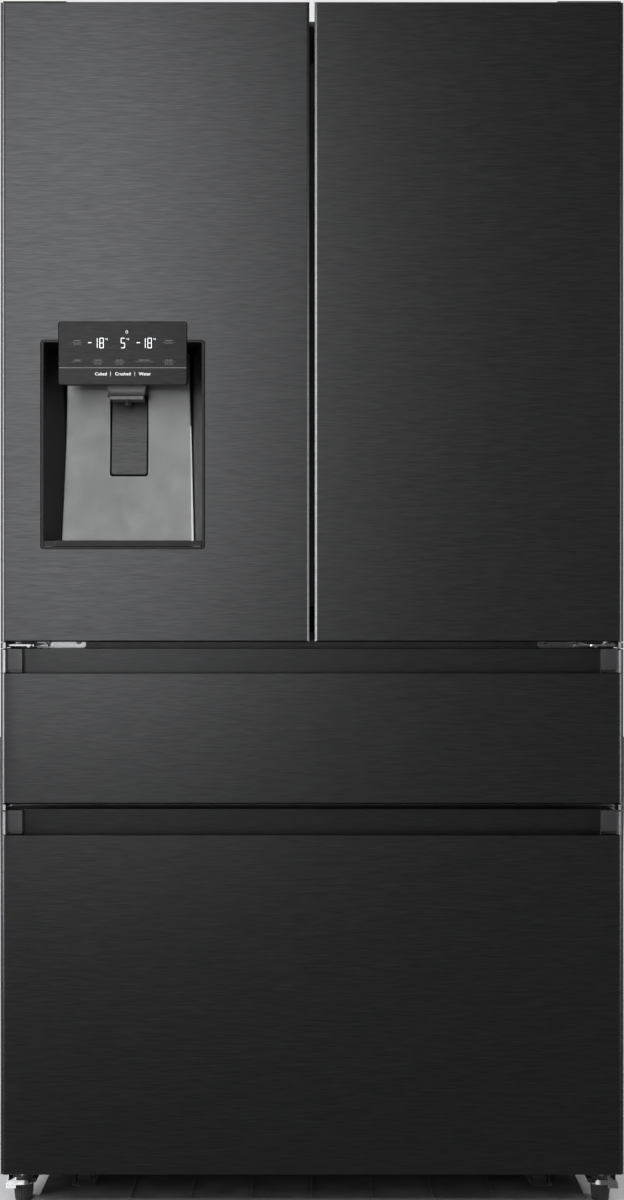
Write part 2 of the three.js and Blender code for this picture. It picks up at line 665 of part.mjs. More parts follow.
// The bracket, motor and shaft of the condenser fan, on the floor of the machine compartment.
function condenserFanMount() {
  const x = CONDENSER_FAN_X;
  const centre = [MACHINE_Y, MACHINE_MIDDLE];
  const motorStart = x + FAN_THICKNESS / 2 + FAN_MOTOR_GAP;
  const postX = x + FAN_THICKNESS / 2 + FAN_BRACKET_GAP;
  const postHalf = FAN_MOTOR_RADIUS - 2 * OVERLAP;
  const postZ = [CABINET_BOTTOM - OVERLAP, MACHINE_MIDDLE + FAN_MOTOR_RADIUS];
  return [
    box([postX, postX + FAN_BRACKET], [MACHINE_Y - postHalf, MACHINE_Y + postHalf], postZ),
    cylinder(FAN_MOTOR_RADIUS, [motorStart, postX + OVERLAP], "x", centre, 16),
    cylinder(SHAFT_RADIUS, [x - FAN_THICKNESS / 4, motorStart + OVERLAP], "x", centre, 16),
  ];
}

// One roller's top plate, its two ears, its axle and the strut that ties it to the chassis.
function rollerMount(x, y, low) {
  const earInner = ROLLER_WIDTH / 2 + OVERLAP;
  const earOuter = earInner + EAR;
  const span = [y - EAR_HALF_LENGTH, y + EAR_HALF_LENGTH];
  const plateY = [y - EAR_PLATE_HALF, y + EAR_PLATE_HALF];
  const earZ = [ROLLER_RADIUS - EAR_DROP, low + OVERLAP];
  const axleX = [x - earOuter + OVERLAP, x + earOuter - OVERLAP];
  const strut = y < 0 ? [CABINET_FRONT, plateY[1]] : [plateY[0], CABINET_BACK];
  return [
    box([x - earOuter, x + earOuter], plateY, [low, low + EAR_PLATE]),
    box([x - earOuter, x - earInner], span, earZ),
    box([x + earInner, x + earOuter], span, earZ),
    cylinder(AXLE_RADIUS, axleX, "x", [y, ROLLER_RADIUS], 16),
    box([x - STRUT, x + STRUT], strut, [low + OVERLAP, low + EAR_PLATE + STRUT / 2]),
  ];
}

// ---------------------------------------------------------------- hinges

function addHinges(group) {
  for (const [side, word] of SIDES) {
    const span = (width) => [side * (HINGE_OUTER - width), side * HINGE_OUTER];
    const pin = [side * PIN_X, PIN_Y];
    const nose = PIN_Y - HINGE_NOSE;
    const armTop = ARM_BOTTOM + HINGE_PLATE;
    const flangeY = [CABINET_FRONT - HINGE_PLATE, CABINET_FRONT];
    const flangeMiddle = (MIDDLE_TOP + DOOR_BOTTOM) / 2;
    const flangeZ = grown([flangeMiddle, flangeMiddle], HINGE_FLANGE_HEIGHT / 2);
    const pinZ = [ARM_BOTTOM + OVERLAP, DOOR_BOTTOM + PIN_ENGAGEMENT];
    const middle = join([
      box(span(HINGE_ARM_WIDTH), [nose, CABINET_FRONT], [ARM_BOTTOM, armTop]),
      box(span(HINGE_FLANGE_WIDTH), flangeY, flangeZ),
      cylinder(PIN_RADIUS, pinZ, "z", pin, 20),
    ]);
    piece(group, "middle_hinge_" + word, middle, finish.zinc);

    const seatTop = CABINET_TOP + TOP_HINGE_PLATE;
    const seatY = [CABINET_FRONT, CABINET_FRONT + TOP_HINGE_REACH];
    const topArmY = [nose, CABINET_FRONT + TOP_HINGE_REACH / 2];
    const topArmZ = [seatTop - OVERLAP / 2, seatTop + TOP_HINGE_PLATE];
    const topPinZ = [DOOR_TOP - PIN_ENGAGEMENT, topArmZ[1] - OVERLAP];
    const top = join([
      box(span(2 * HINGE_ARM_WIDTH), seatY, [CABINET_TOP, seatTop]),
      box(span(HINGE_ARM_WIDTH), topArmY, topArmZ),
      cylinder(PIN_RADIUS, topPinZ, "z", pin, 20),
    ]);
    piece(group, "top_hinge_" + word, top, finish.zinc);

    const coverX = [side * (CABINET_SIDE - COVER_WIDTH), side * CABINET_SIDE];
    const coverY = [PIN_Y - COVER_NOSE, CABINET_FRONT + COVER_REACH];
    const coverZ = [CABINET_TOP, DOOR_TOP + COVER_RISE];
    const doorRoom = box([-SIDE, SIDE], [FRONT, CABINET_FRONT], [0, DOOR_TOP + COVER_AIR]);
    const cover = shell(coverX, coverY, coverZ, COVER_WALL, "-z").subtract(doorRoom);
    piece(group, "hinge_cover_" + word, cover, finish.darkPlastic);
  }
}

// ---------------------------------------------------------------- doors

const doorSpan = (side) => (side < 0 ? [-SIDE, -MEETING_GAP / 2] : [MEETING_GAP / 2, SIDE]);

function pinHoles(body, side) {
  const bore = (z) => cylinder(PIN_RADIUS + PIN_CLEARANCE, z, "z", [side * PIN_X, PIN_Y], 20);
  const depth = PIN_ENGAGEMENT + PIN_END_GAP;
  const bottomHole = bore([DOOR_BOTTOM - OVERLAP, DOOR_BOTTOM + depth]);
  const topHole = bore([DOOR_TOP - depth, DOOR_TOP + OVERLAP]);
  return body.subtract(bottomHole).subtract(topHole);
}

// The folded sheet of a door or drawer front, open at the back.
function frontSkin(x, z) {
  const inner = [x[0] + SKIN, x[1] - SKIN];
  const skin = frontBlock(x, [FRONT, DOOR_BACK], z);
  const innerY = [FRONT + SKIN, DOOR_BACK + OVERLAP];
  return skin.subtract(box(inner, innerY, grown(z, -SKIN)));
}

function doorGasket(side) {
  const x = [MEETING_GAP / 2 + GASKET_INSET / 2, SIDE - GASKET_HINGE_INSET].map((v) => side * v);
  const z = [DOOR_BOTTOM + GASKET_INSET, DOOR_TOP - GASKET_INSET];
  return ring(x, [DOOR_BACK, DOOR_BACK + GASKET_DEPTH], z, GASKET_WIDTH);
}

// The moulded inner side of a door with its foam: a slab inside the skin, and the raised dike.
function doorLiner(side) {
  const span = doorSpan(side);
  const x = [span[0] + SKIN, span[1] - SKIN];
  const slab = box(x, [FRONT + SKIN, DOOR_BACK], [DOOR_BOTTOM + SKIN, DOOR_TOP - SKIN]);
  const dikeX = [side * DIKE_INNER, side * DIKE_OUTER];
  const dikeY = [DOOR_BACK - OVERLAP, DOOR_BACK + DIKE_DEPTH];
  const dike = ring(dikeX, dikeY, DIKE_LEVELS, DIKE_WALL);
  return slab.add(dike);
}

const binSpan = [DIKE_INNER + DIKE_WALL + SEAM, DIKE_OUTER - DIKE_WALL - SEAM];
const binDepth = [DOOR_BACK + SEAM, DOOR_BACK + DOOR_BIN_DEPTH];

// A door bin that hangs between the dike's two upright walls.
function doorBin(side, bottom) {
  const x = binSpan.map((v) => side * v);
  return shell(x, binDepth, [bottom, bottom + DOOR_BIN_HEIGHT], BIN_WALL, "+z");
}

function addRightDoor(group) {
  const z = [DOOR_BOTTOM, DOOR_TOP];
  piece(group, "right_door_skin", pinHoles(frontSkin(doorSpan(1), z), 1), finish.blackSteel);
  piece(group, "right_door_liner", pinHoles(doorLiner(1), 1), finish.whitePlastic);
  piece(group, "right_door_gasket", doorGasket(1), finish.rubber);
  const lowest = DIKE_LEVELS[0] + DIKE_WALL + SEAM;
  piece(group, "right_bin_lower", doorBin(1, lowest), finish.clearPlastic);
  piece(group, "right_bin_upper", doorBin(1, lowest + UPPER_BIN_RISE), finish.clearPlastic);
}

function addLeftDoor(group) {
  const niche = {
    x: [NICHE_X - NICHE_WIDTH / 2, NICHE_X + NICHE_WIDTH / 2],
    z: [NICHE_BOTTOM, NICHE_TOP],
  };
  const panel = {
    x: [NICHE_X - PANEL_WIDTH / 2, NICHE_X + PANEL_WIDTH / 2],
    z: [PANEL_BOTTOM, PANEL_BOTTOM + PANEL_HEIGHT],
  };
  const holeY = past([FRONT, FRONT + PANEL_THICKNESS]);
  const rim = BEZEL + SEAM;
  const nicheHole = plate(grown(niche.x, rim), holeY, grown(niche.z, rim), NICHE_RADIUS + SEAM);
  const panelHole = box(grown(panel.x, SEAM), holeY, grown(panel.z, SEAM));
  const skin = frontSkin(doorSpan(-1), [DOOR_BOTTOM, DOOR_TOP])
    .subtract(nicheHole)
    .subtract(panelHole);
  piece(group, "left_door_skin", pinHoles(skin, -1), finish.blackSteel);

  const cavityX = grown(niche.x, HOUSING_WALL + SEAM);
  const cavityZ = grown(niche.z, HOUSING_WALL + SEAM);
  const cavityBack = POCKET_BACK + SEAM;
  const cavity = box(cavityX, [FRONT, cavityBack], cavityZ).add(panelHole);
  const humpY = [DOOR_BACK - OVERLAP, cavityBack + HOUSING_WALL];
  const humpZ = grown(cavityZ, HUMP_WALL);
  const hump = box(grown(cavityX, HUMP_WALL), humpY, humpZ);
  const liner = doorLiner(-1).add(hump).subtract(cavity);
  piece(group, "left_door_liner", pinHoles(liner, -1), finish.whitePlastic);
  piece(group, "left_door_gasket", doorGasket(-1), finish.rubber);

  addNiche(group, niche, panel);
  addSpout(group);
  addTray(group, niche);
  addPaddle(group);
  addIceRoom(group, humpZ[1]);
}

const paddleTop = NICHE_BOTTOM + PADDLE_SILL + PADDLE_LENGTH;
const nicheRear = FRONT + NICHE_DEPTH_LOW;
const nicheSlope = (NICHE_DEPTH_HIGH - NICHE_DEPTH_LOW) / NICHE_HEIGHT;

// The niche's moulding with its bezel and paddle pocket, and the touch panel in front of it.
function addNiche(group, niche, panel) {
  const draft = (extra) => (side, rear, upper) => {
    if (!rear) return [0, 0];
    if (!upper) return [-side * NICHE_DRAFT_LOW, extra];
    return [-side * NICHE_DRAFT_HIGH, NICHE_DEPTH_HIGH - NICHE_DEPTH_LOW + extra];
  };
  const pocketX = grown([NICHE_X, NICHE_X], PADDLE_WIDTH / 2 + POCKET_MARGIN);
  const pocketZ = grown([paddleTop - PADDLE_LENGTH, paddleTop + PADDLE_AXLE_RADIUS], POCKET_MARGIN);
  const outerX = grown(niche.x, HOUSING_WALL);
  const outerZ = grown(niche.z, HOUSING_WALL);
  const outerY = [FRONT + SKIN + SEAM, nicheRear];
  const outer = drafted(outerX, outerY, outerZ, draft(HOUSING_WALL));
  const bezelY = [FRONT, FRONT + BEZEL];
  const bezel = plate(grown(niche.x, BEZEL), bezelY, grown(niche.z, BEZEL), NICHE_RADIUS);
  const pocketWallX = grown(pocketX, HOUSING_WALL);
  const pocketWall = box(pocketWallX, [nicheRear, POCKET_BACK], grown(pocketZ, HOUSING_WALL));
  const hollow = drafted(niche.x, [FRONT - OVERLAP, nicheRear], niche.z, draft(0));
  const pocket = box(pocketX, [nicheRear, FRONT + POCKET_DEPTH], pocketZ);
  const panelRoomY = [FRONT - OVERLAP, FRONT + PANEL_THICKNESS + SEAM];
  const panelRoom = box(grown(panel.x, SEAM), panelRoomY, grown(panel.z, SEAM));
  const housing = join([outer, bezel, pocketWall])
    .subtract(hollow)
    .subtract(pocket)
    .subtract(panelRoom);
  piece(group, "dispenser_housing", housing, finish.nicheMetal);

  const panelY = [FRONT - PANEL_PROUD, FRONT + PANEL_THICKNESS];
  piece(group, "control_panel", plate(panel.x, panelY, panel.z, EDGE_RADIUS), finish.panelGlass);
}

function addSpout(group) {
  const x = grown([NICHE_X, NICHE_X], SPOUT_TOP_WIDTH / 2);
  const y = [FRONT + SPOUT_FRONT, FRONT + SPOUT_FRONT + SPOUT_LENGTH];
  const z = [NICHE_TOP - SPOUT_DROP, NICHE_TOP - SEAM];
  const narrowing = (SPOUT_TOP_WIDTH - SPOUT_FOOT_WIDTH) / 2;
  const taper = (side, rear, upper) => (upper ? [0, 0] : [-side * narrowing, 0]);
  const boreZ = [z[0] - OVERLAP, z[1] - SPOUT_WALL];
  const bore = drafted(grown(x, -SPOUT_WALL), grown(y, -SPOUT_WALL), boreZ, taper);
  piece(group, "ice_spout", drafted(x, y, z, taper).subtract(bore), finish.darkPlastic);
}

function addTray(group, niche) {
  const x = grown(niche.x, -NICHE_DRAFT_LOW - TRAY_MARGIN);
  const y = [FRONT + TRAY_MARGIN, nicheRear - 2 * TRAY_MARGIN];
  let tray = box(x, y, [NICHE_BOTTOM + SEAM, NICHE_BOTTOM + TRAY_HEIGHT]);
  const pitch = (x[1] - x[0]) / (TRAY_SLOTS + 1);
  const slotZ = [NICHE_BOTTOM + TRAY_FLOOR, NICHE_TOP];
  for (let i = 0; i < TRAY_SLOTS; i++) {
    const middle = x[0] + pitch * (i + 1);
    const slotX = grown([middle, middle], TRAY_SLOT_WIDTH / 2);
    tray = tray.subtract(box(slotX, grown(y, -TRAY_RIM), slotZ));
  }
  piece(group, "drip_tray", tray, finish.darkPlastic);
}

function addPaddle(group) {
  const x = [-PADDLE_WIDTH / 2, PADDLE_WIDTH / 2];
  const axleX = grown(x, PADDLE_AXLE_END);
  const lever = box(x, [0, PADDLE_PLATE], [-PADDLE_LENGTH, 0]).add(
    cylinder(PADDLE_AXLE_RADIUS, axleX, "x", [PADDLE_PLATE / 2, 0], 12),
  );
  const pivotY = nicheRear + (paddleTop - NICHE_BOTTOM) * nicheSlope;
  const swing = new THREE.Group();
  swing.position.set(NICHE_X, pivotY + PADDLE_GAP, paddleTop);
  swing.rotation.x = -Math.atan(nicheSlope);
  piece(swing, "dispenser_paddle", lever, finish.nicheMetal);
  group.add(swing);
}

// The insulated ice room on the inner side of the left door, open towards the cabinet.
function addIceRoom(group, lowest) {
  const x = binSpan.map((v) => -v).reverse();
  const top = DIKE_LEVELS[1] - DIKE_WALL - SEAM;
  const bottom = Math.max(top - ICE_ROOM_HEIGHT, lowest + SEAM);
  const room = shell(x, binDepth, [bottom, top], ICE_ROOM_WALL, "+y");
  piece(group, "ice_compartment", room, finish.whitePlastic);
}

// The strip behind the meeting doors. It folds on the left door.
function addMullionFlap(group) {
  const z = [FRIDGE_BAY[0] + FLAP_SHORT, FRIDGE_BAY[1] - FLAP_SHORT];
  const faceX = [-FLAP_HALF_WIDTH, FLAP_HALF_WIDTH];
  const face = box(faceX, [CABINET_FRONT, CABINET_FRONT + FLAP_PLATE], z);
  const spineStart = FLAP_SPINE_INSET - FLAP_HALF_WIDTH;
  const spineX = [spineStart, spineStart + FLAP_SPINE_WIDTH];
  const plateBack = CABINET_FRONT + FLAP_PLATE;
  const spineY = [plateBack - OVERLAP, plateBack + FLAP_SPINE];
  piece(group, "mullion_flap", face.add(box(spineX, spineY, z)), finish.darkPlastic);
}

// ---------------------------------------------------------------- drawers

// One drawer: front with handle channel, channel end caps, inner panel, gasket, runners and bin.
function addDrawer(group, drawer) {
  const { name, z, bay, rail, railRear, binBottom, binHeight, binRear } = drawer;
  const channel = {
    lip: z[1] - CHANNEL_HEIGHT,
    floor: z[1] - CHANNEL_HEIGHT - GROOVE_DEPTH,
    rear: FRONT + CHANNEL_DEPTH,
    top: z[1],
  };
  addDrawerFront(group, name, z, channel);
  for (const [side, word] of SIDES) addEndCap(group, name + "_cap_" + word, side, channel);

  const plateauX = grown([0, 0], RUNNER_X - RUNNER_REACH - PLATEAU_GAP);
  const plateauY = [DOOR_BACK - OVERLAP, DOOR_BACK + PLATEAU_DEPTH];
  const plateau = box(plateauX, plateauY, grown(bay, -LINER - DIKE_CLEARANCE));
  const channelZ = [channel.floor - SKIN, channel.top];
  const channelSpace = box([-SIDE, SIDE], [FRONT, channel.rear + SKIN], channelZ);
  const panel = box([SKIN - SIDE, SIDE - SKIN], [FRONT + SKIN, DOOR_BACK], grown(z, -SKIN))
    .subtract(channelSpace)
    .add(plateau);
  piece(group, name + "_inner_panel", panel, finish.whitePlastic);

  const sealX = [GASKET_INSET - SIDE, SIDE - GASKET_INSET];
  const sealY = [DOOR_BACK, DOOR_BACK + GASKET_DEPTH];
  const seal = ring(sealX, sealY, grown(z, -GASKET_INSET), GASKET_WIDTH);
  piece(group, name + "_gasket", seal, finish.rubber);

  const inRail = RAIL_WALL + RUNNER_CLEARANCE;
  const runnerZ = [rail + inRail, rail + RAIL_HEIGHT - inRail];
  const runnerRear = railRear - 2 * CROSSBAR - TIE_GAP;
  const outer = BAY_SIDE - LINER - inRail;
  const inner = RUNNER_X - RUNNER_REACH;
  const frame = [-1, 1].map((side) =>
    box([side * inner, side * outer], [DOOR_BACK, runnerRear], runnerZ),
  );
  frame.push(box([-outer, outer], [runnerRear - CROSSBAR, runnerRear], runnerZ));
  piece(group, name + "_frame", join(frame), finish.zinc);

  const binSide = inner - BIN_CLEARANCE;
  const binY = [DOOR_BACK + PLATEAU_DEPTH + BIN_CLEARANCE, binRear];
  const binZ = [binBottom, binBottom + binHeight];
  let bin = shell([-binSide, binSide], binY, binZ, BIN_WALL, "+z");
  for (const [side] of SIDES) {
    const flangeX = [side * (binSide - OVERLAP), side * (binSide + BIN_FLANGE)];
    const flangeZ = [runnerZ[1], runnerZ[1] + BIN_WALL];
    bin = bin.add(box(flangeX, grown(binY, -FLANGE_SHORT), flangeZ));
  }
  piece(group, name + "_bin", bin, finish.whitePlastic);
}

// The steel front: a folded sheet with a lip, a groove for the fingers and a back wall above.
function addDrawerFront(group, name, z, channel) {
  const full = [-SIDE, SIDE];
  const grooveY = [FRONT + LIP, channel.rear];
  const groove = box(past(full), grooveY, [channel.floor, channel.lip + OVERLAP]);
  const aboveZ = [channel.lip, channel.top + OVERLAP];
  const above = box(past(full), [FRONT - OVERLAP, channel.rear], aboveZ);
  const blockZ = [channel.floor - SKIN, channel.top];
  const block = frontBlock(full, [FRONT, channel.rear + SKIN], blockZ);
  const front = frontSkin(full, z).add(block).subtract(groove).subtract(above);
  piece(group, name + "_front", front, finish.blackSteel);
}

// The moulding that closes one end of a handle channel and carries on the front's outer edge.
function addEndCap(group, name, side, channel) {
  const outer = side * SIDE;
  const bandX = [outer, side * (SIDE - CAP_BAND)];
  const capX = [outer, side * (SIDE - CAP_BAND - CAP_WIDTH)];
  const z = [channel.lip + CAP_SEAM, channel.top];
  const band = box(bandX, [FRONT + EDGE_RADIUS, channel.rear], z);
  const halfX = side < 0 ? [-SIDE, 0] : [0, SIDE];
  const rounded = frontBlock(halfX, [FRONT, FRONT + 2 * EDGE_RADIUS], z);
  const edge = rounded.intersect(box(bandX, [FRONT - OVERLAP, channel.rear], z));
  const plug = box(capX, [FRONT + LIP, channel.rear], [channel.floor, channel.lip]);
  const faceZ = [channel.lip - OVERLAP, channel.top];
  const face = box(capX, [FRONT + CAP_SETBACK, channel.rear], faceZ);
  piece(group, name, join([band, edge, plug, face]), finish.darkPlastic);
}

// The fixed halves of a drawer's two slides, tied together across the back of the bay.
function addRails(group, name, rail, rear) {
  const outer = BAY_SIDE - LINER;
  const z = [rail, rail + RAIL_HEIGHT];
  const start = FOAM_FRONT + RAIL_SETBACK;
  const parts = [-1, 1].map((side) => {
    const slotX = [side * (RUNNER_X - OVERLAP), side * (outer - RAIL_WALL)];
    const slot = box(slotX, past([start, rear]), grown(z, -RAIL_WALL));
    return box([side * RUNNER_X, side * outer], [start, rear], z).subtract(slot);
  });
  parts.push(box([-outer, outer], [rear - CROSSBAR, rear], z));
  piece(group, name, join(parts), finish.zinc);
}

// ---------------------------------------------------------------- inside the bays

function addShelves(group) {
  const inner = BAY_SIDE - LINER;
  const y = [SHELF_FRONT, BAY_BACK - LINER - SHELF_REAR_GAP];
  const shelfX = grown([0, 0], inner - SHELF_SIDE_GAP);
  const trimY = grown([SHELF_FRONT, SHELF_FRONT], PULL_PLATE);
  for (const [name, level] of [["shelf_lower", LOWER_SHELF], ["shelf_upper", UPPER_SHELF]]) {
    const top = level + SHELF_GLASS;
    const glass = box(shelfX, y, [level, top]);
    const trim = box(grown(shelfX, -LEDGE), trimY, [top - SHELF_TRIM, top]);
    piece(group, name, glass.add(trim), finish.glass);
  }
  const low = FRIDGE_BAY[0] + LINER + SHELF_SIDE_GAP;
  const pullLow = FRIDGE_BAY[0] + LINER + CRISPER_HEIGHT - PULL_DROP;
  for (const [side, word] of SIDES) {
    const x = [side * CRISPER_GAP / 2, side * (inner - LEDGE - 3 * SHELF_SIDE_GAP)];
    const tub = shell(x, y, [low, low + CRISPER_HEIGHT], BIN_WALL, "+z");
    const pullX = [side * PULL_INSET, side * (inner - PULL_INSET)];
    const pullY = [SHELF_FRONT - PULL_REACH, SHELF_FRONT + OVERLAP];
    const pull = box(pullX, pullY, [pullLow, pullLow + PULL_PLATE]);
    piece(group, "crisper_" + word, tub.add(pull), finish.clearPlastic);
  }
}

function addEvaporator(group) {
  const inner = BAY_SIDE - LINER;
  const floor = STEP_TOP + LINER;
  const coverY = [EVAPORATOR_FRONT, EVAPORATOR_FRONT + COVER_PLATE];
  const coverZ = [floor + SEAM, FREEZER_BAY[1] - LINER - RAIL_SETBACK];
  let cover = box(grown([0, 0], inner - RAIL_SETBACK), coverY, coverZ);
  const mouth = EVAPORATOR_FAN_RADIUS + FAN_MOUTH;
  cover = cover.subtract(cylinder(mouth, past(coverY), "y", [0, FAN_Z], 32));
  for (const [side] of SIDES)
    for (let row = 0; row < COVER_SLOTS; row++) {
      const low = floor + COVER_SLOT_RISE + 2 * row * COVER_SLOT_HEIGHT;
      const slotX = COVER_SLOT.map((v) => side * v);
      cover = cover.subtract(box(slotX, past(coverY), [low, low + COVER_SLOT_HEIGHT]));
    }
  piece(group, "evaporator_cover", cover, finish.whitePlastic);

  const front = EVAPORATOR_FRONT + EVAPORATOR_GAP;
  const y = [front, front + EVAPORATOR_DEPTH];
  const z = [floor + EVAPORATOR_RISE, floor + EVAPORATOR_RISE + EVAPORATOR_HEIGHT];
  const half = inner - EVAPORATOR_SIDE_GAP;
  const tubeIn = TUBE_INSET + TUBE;
  const lowTubeZ = [z[0] + TUBE_INSET, z[0] + tubeIn];
  const highTubeZ = [z[1] - tubeIn, z[1] - TUBE_INSET];
  const postTop = FAN_Z + FAN_POST_WIDTH / 2;
  const motorY = [y[1] - 2 * TUBE_INSET, y[1] - TUBE_INSET + OVERLAP];
  const shaftY = [y[0] + PULL_PLATE, motorY[0] + OVERLAP];
  const parts = [
    box([-half, half], [y[0] + TUBE_INSET, y[0] + tubeIn], lowTubeZ),
    box([-half, half], [y[1] - tubeIn, y[1] - TUBE_INSET], highTubeZ),
    box(grown([0, 0], FAN_POST_WIDTH / 2), [y[1] - TUBE_INSET, y[1]], [z[0], postTop]),
    cylinder(FAN_MOTOR_RADIUS, motorY, "y", [0, FAN_Z], 16),
    cylinder(SHAFT_RADIUS, shaftY, "y", [0, FAN_Z], 16),
  ];
  for (let i = 0; i < EVAPORATOR_FINS; i++) {
    const x = -half + (2 * half * i) / (EVAPORATOR_FINS - 1);
    parts.push(box(grown([x, x], FIN / 2), y, z));
  }
  piece(group, "evaporator", join(parts), finish.aluminium);

  const spin = new THREE.Group();
  spin.position.set(0, y[0] + FAN_THICKNESS / 2, FAN_Z);
  spin.rotation.x = Math.PI / 2;
  piece(spin, "evaporator_fan", fanWheel(EVAPORATOR_FAN_RADIUS), finish.darkPlastic);
  group.add(spin);
}

addCabinet(refrigerator);
addMachineRoom(refrigerator);
addChassis(refrigerator);
addHinges(refrigerator);
addShelves(refrigerator);
addEvaporator(refrigerator);
addRails(refrigerator, "middle_rails", MIDDLE_RAIL, MIDDLE_RAIL_REAR);
addRails(refrigerator, "freezer_rails", FREEZER_RAIL, FREEZER_RAIL_REAR);

const leftDoor = new THREE.Group();
addLeftDoor(leftDoor);
addMullionFlap(leftDoor);
const rightDoor = new THREE.Group();
addRightDoor(rightDoor);
const middleDrawer = new THREE.Group();
addDrawer(middleDrawer, {
  name: "middle",
  z: [MIDDLE_BOTTOM, MIDDLE_TOP],
  bay: MIDDLE_BAY,
  rail: MIDDLE_RAIL,
  railRear: MIDDLE_RAIL_REAR,
  binBottom: MIDDLE_BAY[0] + LINER + MIDDLE_BIN_RISE,
  binHeight: MIDDLE_BIN_HEIGHT,
  binRear: MIDDLE_RAIL_REAR - 3 * CROSSBAR - 2 * TIE_GAP,
});
const freezerDrawer = new THREE.Group();
addDrawer(freezerDrawer, {
  name: "freezer",
  z: [FRONT_BOTTOM, FREEZER_TOP],
  bay: FREEZER_BAY,
  rail: FREEZER_RAIL,
  railRear: FREEZER_RAIL_REAR,
  binBottom: FREEZER_BAY[0] + LINER + FREEZER_BIN_RISE,
  binHeight: FREEZER_BIN_HEIGHT,
  binRear: STEP_FRONT - LINER - FREEZER_BIN_REAR_GAP,
});
refrigerator.add(leftDoor, rightDoor, middleDrawer, freezerDrawer);

export default refrigerator;
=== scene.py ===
import math

import bpy
from mathutils import Matrix, Vector


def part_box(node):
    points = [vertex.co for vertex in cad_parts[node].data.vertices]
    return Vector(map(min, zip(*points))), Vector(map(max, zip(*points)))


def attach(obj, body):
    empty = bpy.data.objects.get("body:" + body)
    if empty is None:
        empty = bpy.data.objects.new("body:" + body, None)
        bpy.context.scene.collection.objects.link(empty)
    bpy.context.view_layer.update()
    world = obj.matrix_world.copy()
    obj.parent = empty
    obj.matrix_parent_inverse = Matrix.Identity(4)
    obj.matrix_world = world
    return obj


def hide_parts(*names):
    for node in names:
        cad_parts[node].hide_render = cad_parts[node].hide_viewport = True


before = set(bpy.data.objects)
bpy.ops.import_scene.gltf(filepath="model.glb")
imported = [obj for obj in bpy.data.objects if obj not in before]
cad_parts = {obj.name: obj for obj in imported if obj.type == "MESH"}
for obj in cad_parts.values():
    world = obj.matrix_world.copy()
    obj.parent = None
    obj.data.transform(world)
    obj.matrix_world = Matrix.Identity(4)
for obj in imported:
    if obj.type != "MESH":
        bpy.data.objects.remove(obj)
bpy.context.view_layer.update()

# ---------------------------------------------------------------- studio
# A plain pale floor under plain soft light, seen square to the fronts from a little over two
# metres. The large softbox stands on the left, and a weaker one on the right lights the edges.
standoff = 2.4
eye_height = 0.8968
front_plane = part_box("control_panel")[0].y

bpy.ops.object.select_all(action="DESELECT")
eye = (0, front_plane - standoff, eye_height)
bpy.ops.object.camera_add(location=eye, rotation=(math.pi / 2, 0, 0))
camera = bpy.context.object
camera.data.lens = 49.27
camera.data.sensor_width = 36
camera.data.clip_start = 0.05
bpy.context.scene.camera = camera
bpy.context.scene.view_settings.view_transform = "Standard"

bpy.ops.mesh.primitive_plane_add(size=16, location=(0, 0, 0))
floor = bpy.context.object
floor.name = "studio_floor"
floor_paint = bpy.data.materials.new("floor_paint")
floor_paint.use_nodes = True
floor_shader = floor_paint.node_tree.nodes["Principled BSDF"]
floor_shader.inputs["Base Color"].default_value = (0.72, 0.72, 0.73, 1)
floor_shader.inputs["Roughness"].default_value = 0.85
floor.data.materials.append(floor_paint)
floor.visible_glossy = False


def softbox(name, place, aim, size, watts):
    bpy.ops.object.light_add(type="AREA", location=place)
    lamp = bpy.context.object
    lamp.name = name
    lamp.data.shape = "RECTANGLE"
    lamp.data.size, lamp.data.size_y = size
    lamp.data.energy = watts
    lamp.visible_camera = False
    lamp.rotation_euler = (Vector(aim) - Vector(place)).to_track_quat("-Z", "Y").to_euler()


softbox("softbox_key", (-0.85, -3.37, 1.77), (-0.2, -0.36, 1.2), (1.04, 2.5), 25)
softbox("softbox_left", (-2.5, -1.05, 1.30), (-0.45, -0.36, 1.25), (1.2, 2.3), 98)
softbox("softbox_right", (2.5, -1.05, 0.95), (0.45, -0.36, 1.0), (1.2, 1.7), 34)
softbox("softbox_top", (0.2, -0.2, 3.4), (0, 0, 1.7), (2.2, 1.4), 14)
softbox("softbox_back", (0.9, 3.4, 2.3), (0, 0.3, 1.0), (2.6, 2.0), 70)

world = bpy.data.worlds.new("studio_air")
bpy.context.scene.world = world
world.use_nodes = True
air = world.node_tree.nodes["Background"]
air_seen = world.node_tree.nodes.new("ShaderNodeLightPath")
air_tone = world.node_tree.nodes.new("ShaderNodeMix")
air_tone.data_type = "RGBA"
air_tone.inputs["A"].default_value = (0.107, 0.108, 0.110, 1)
air_tone.inputs["B"].default_value = (0.80, 0.80, 0.81, 1)
world.node_tree.links.new(air_seen.outputs["Is Camera Ray"], air_tone.inputs["Factor"])
world.node_tree.links.new(air_tone.outputs["Result"], air.inputs["Color"])

# ---------------------------------------------------------------- cabinet wrap
# The outer cabinet is one steel sheet folded round both sides and the top, powder coated in a
# fine grey texture. Its front edges are rolled back, and its top has a shallow joint line.


def clear_selection():
    if bpy.context.mode != "OBJECT":
        bpy.ops.object.mode_set(mode="OBJECT")
    bpy.ops.object.select_all(action="DESELECT")


def alone(piece):
    """Leaves one piece selected and active, in object mode."""
    clear_selection()
    bpy.context.view_layer.objects.active = piece
    piece.select_set(True)
    return piece


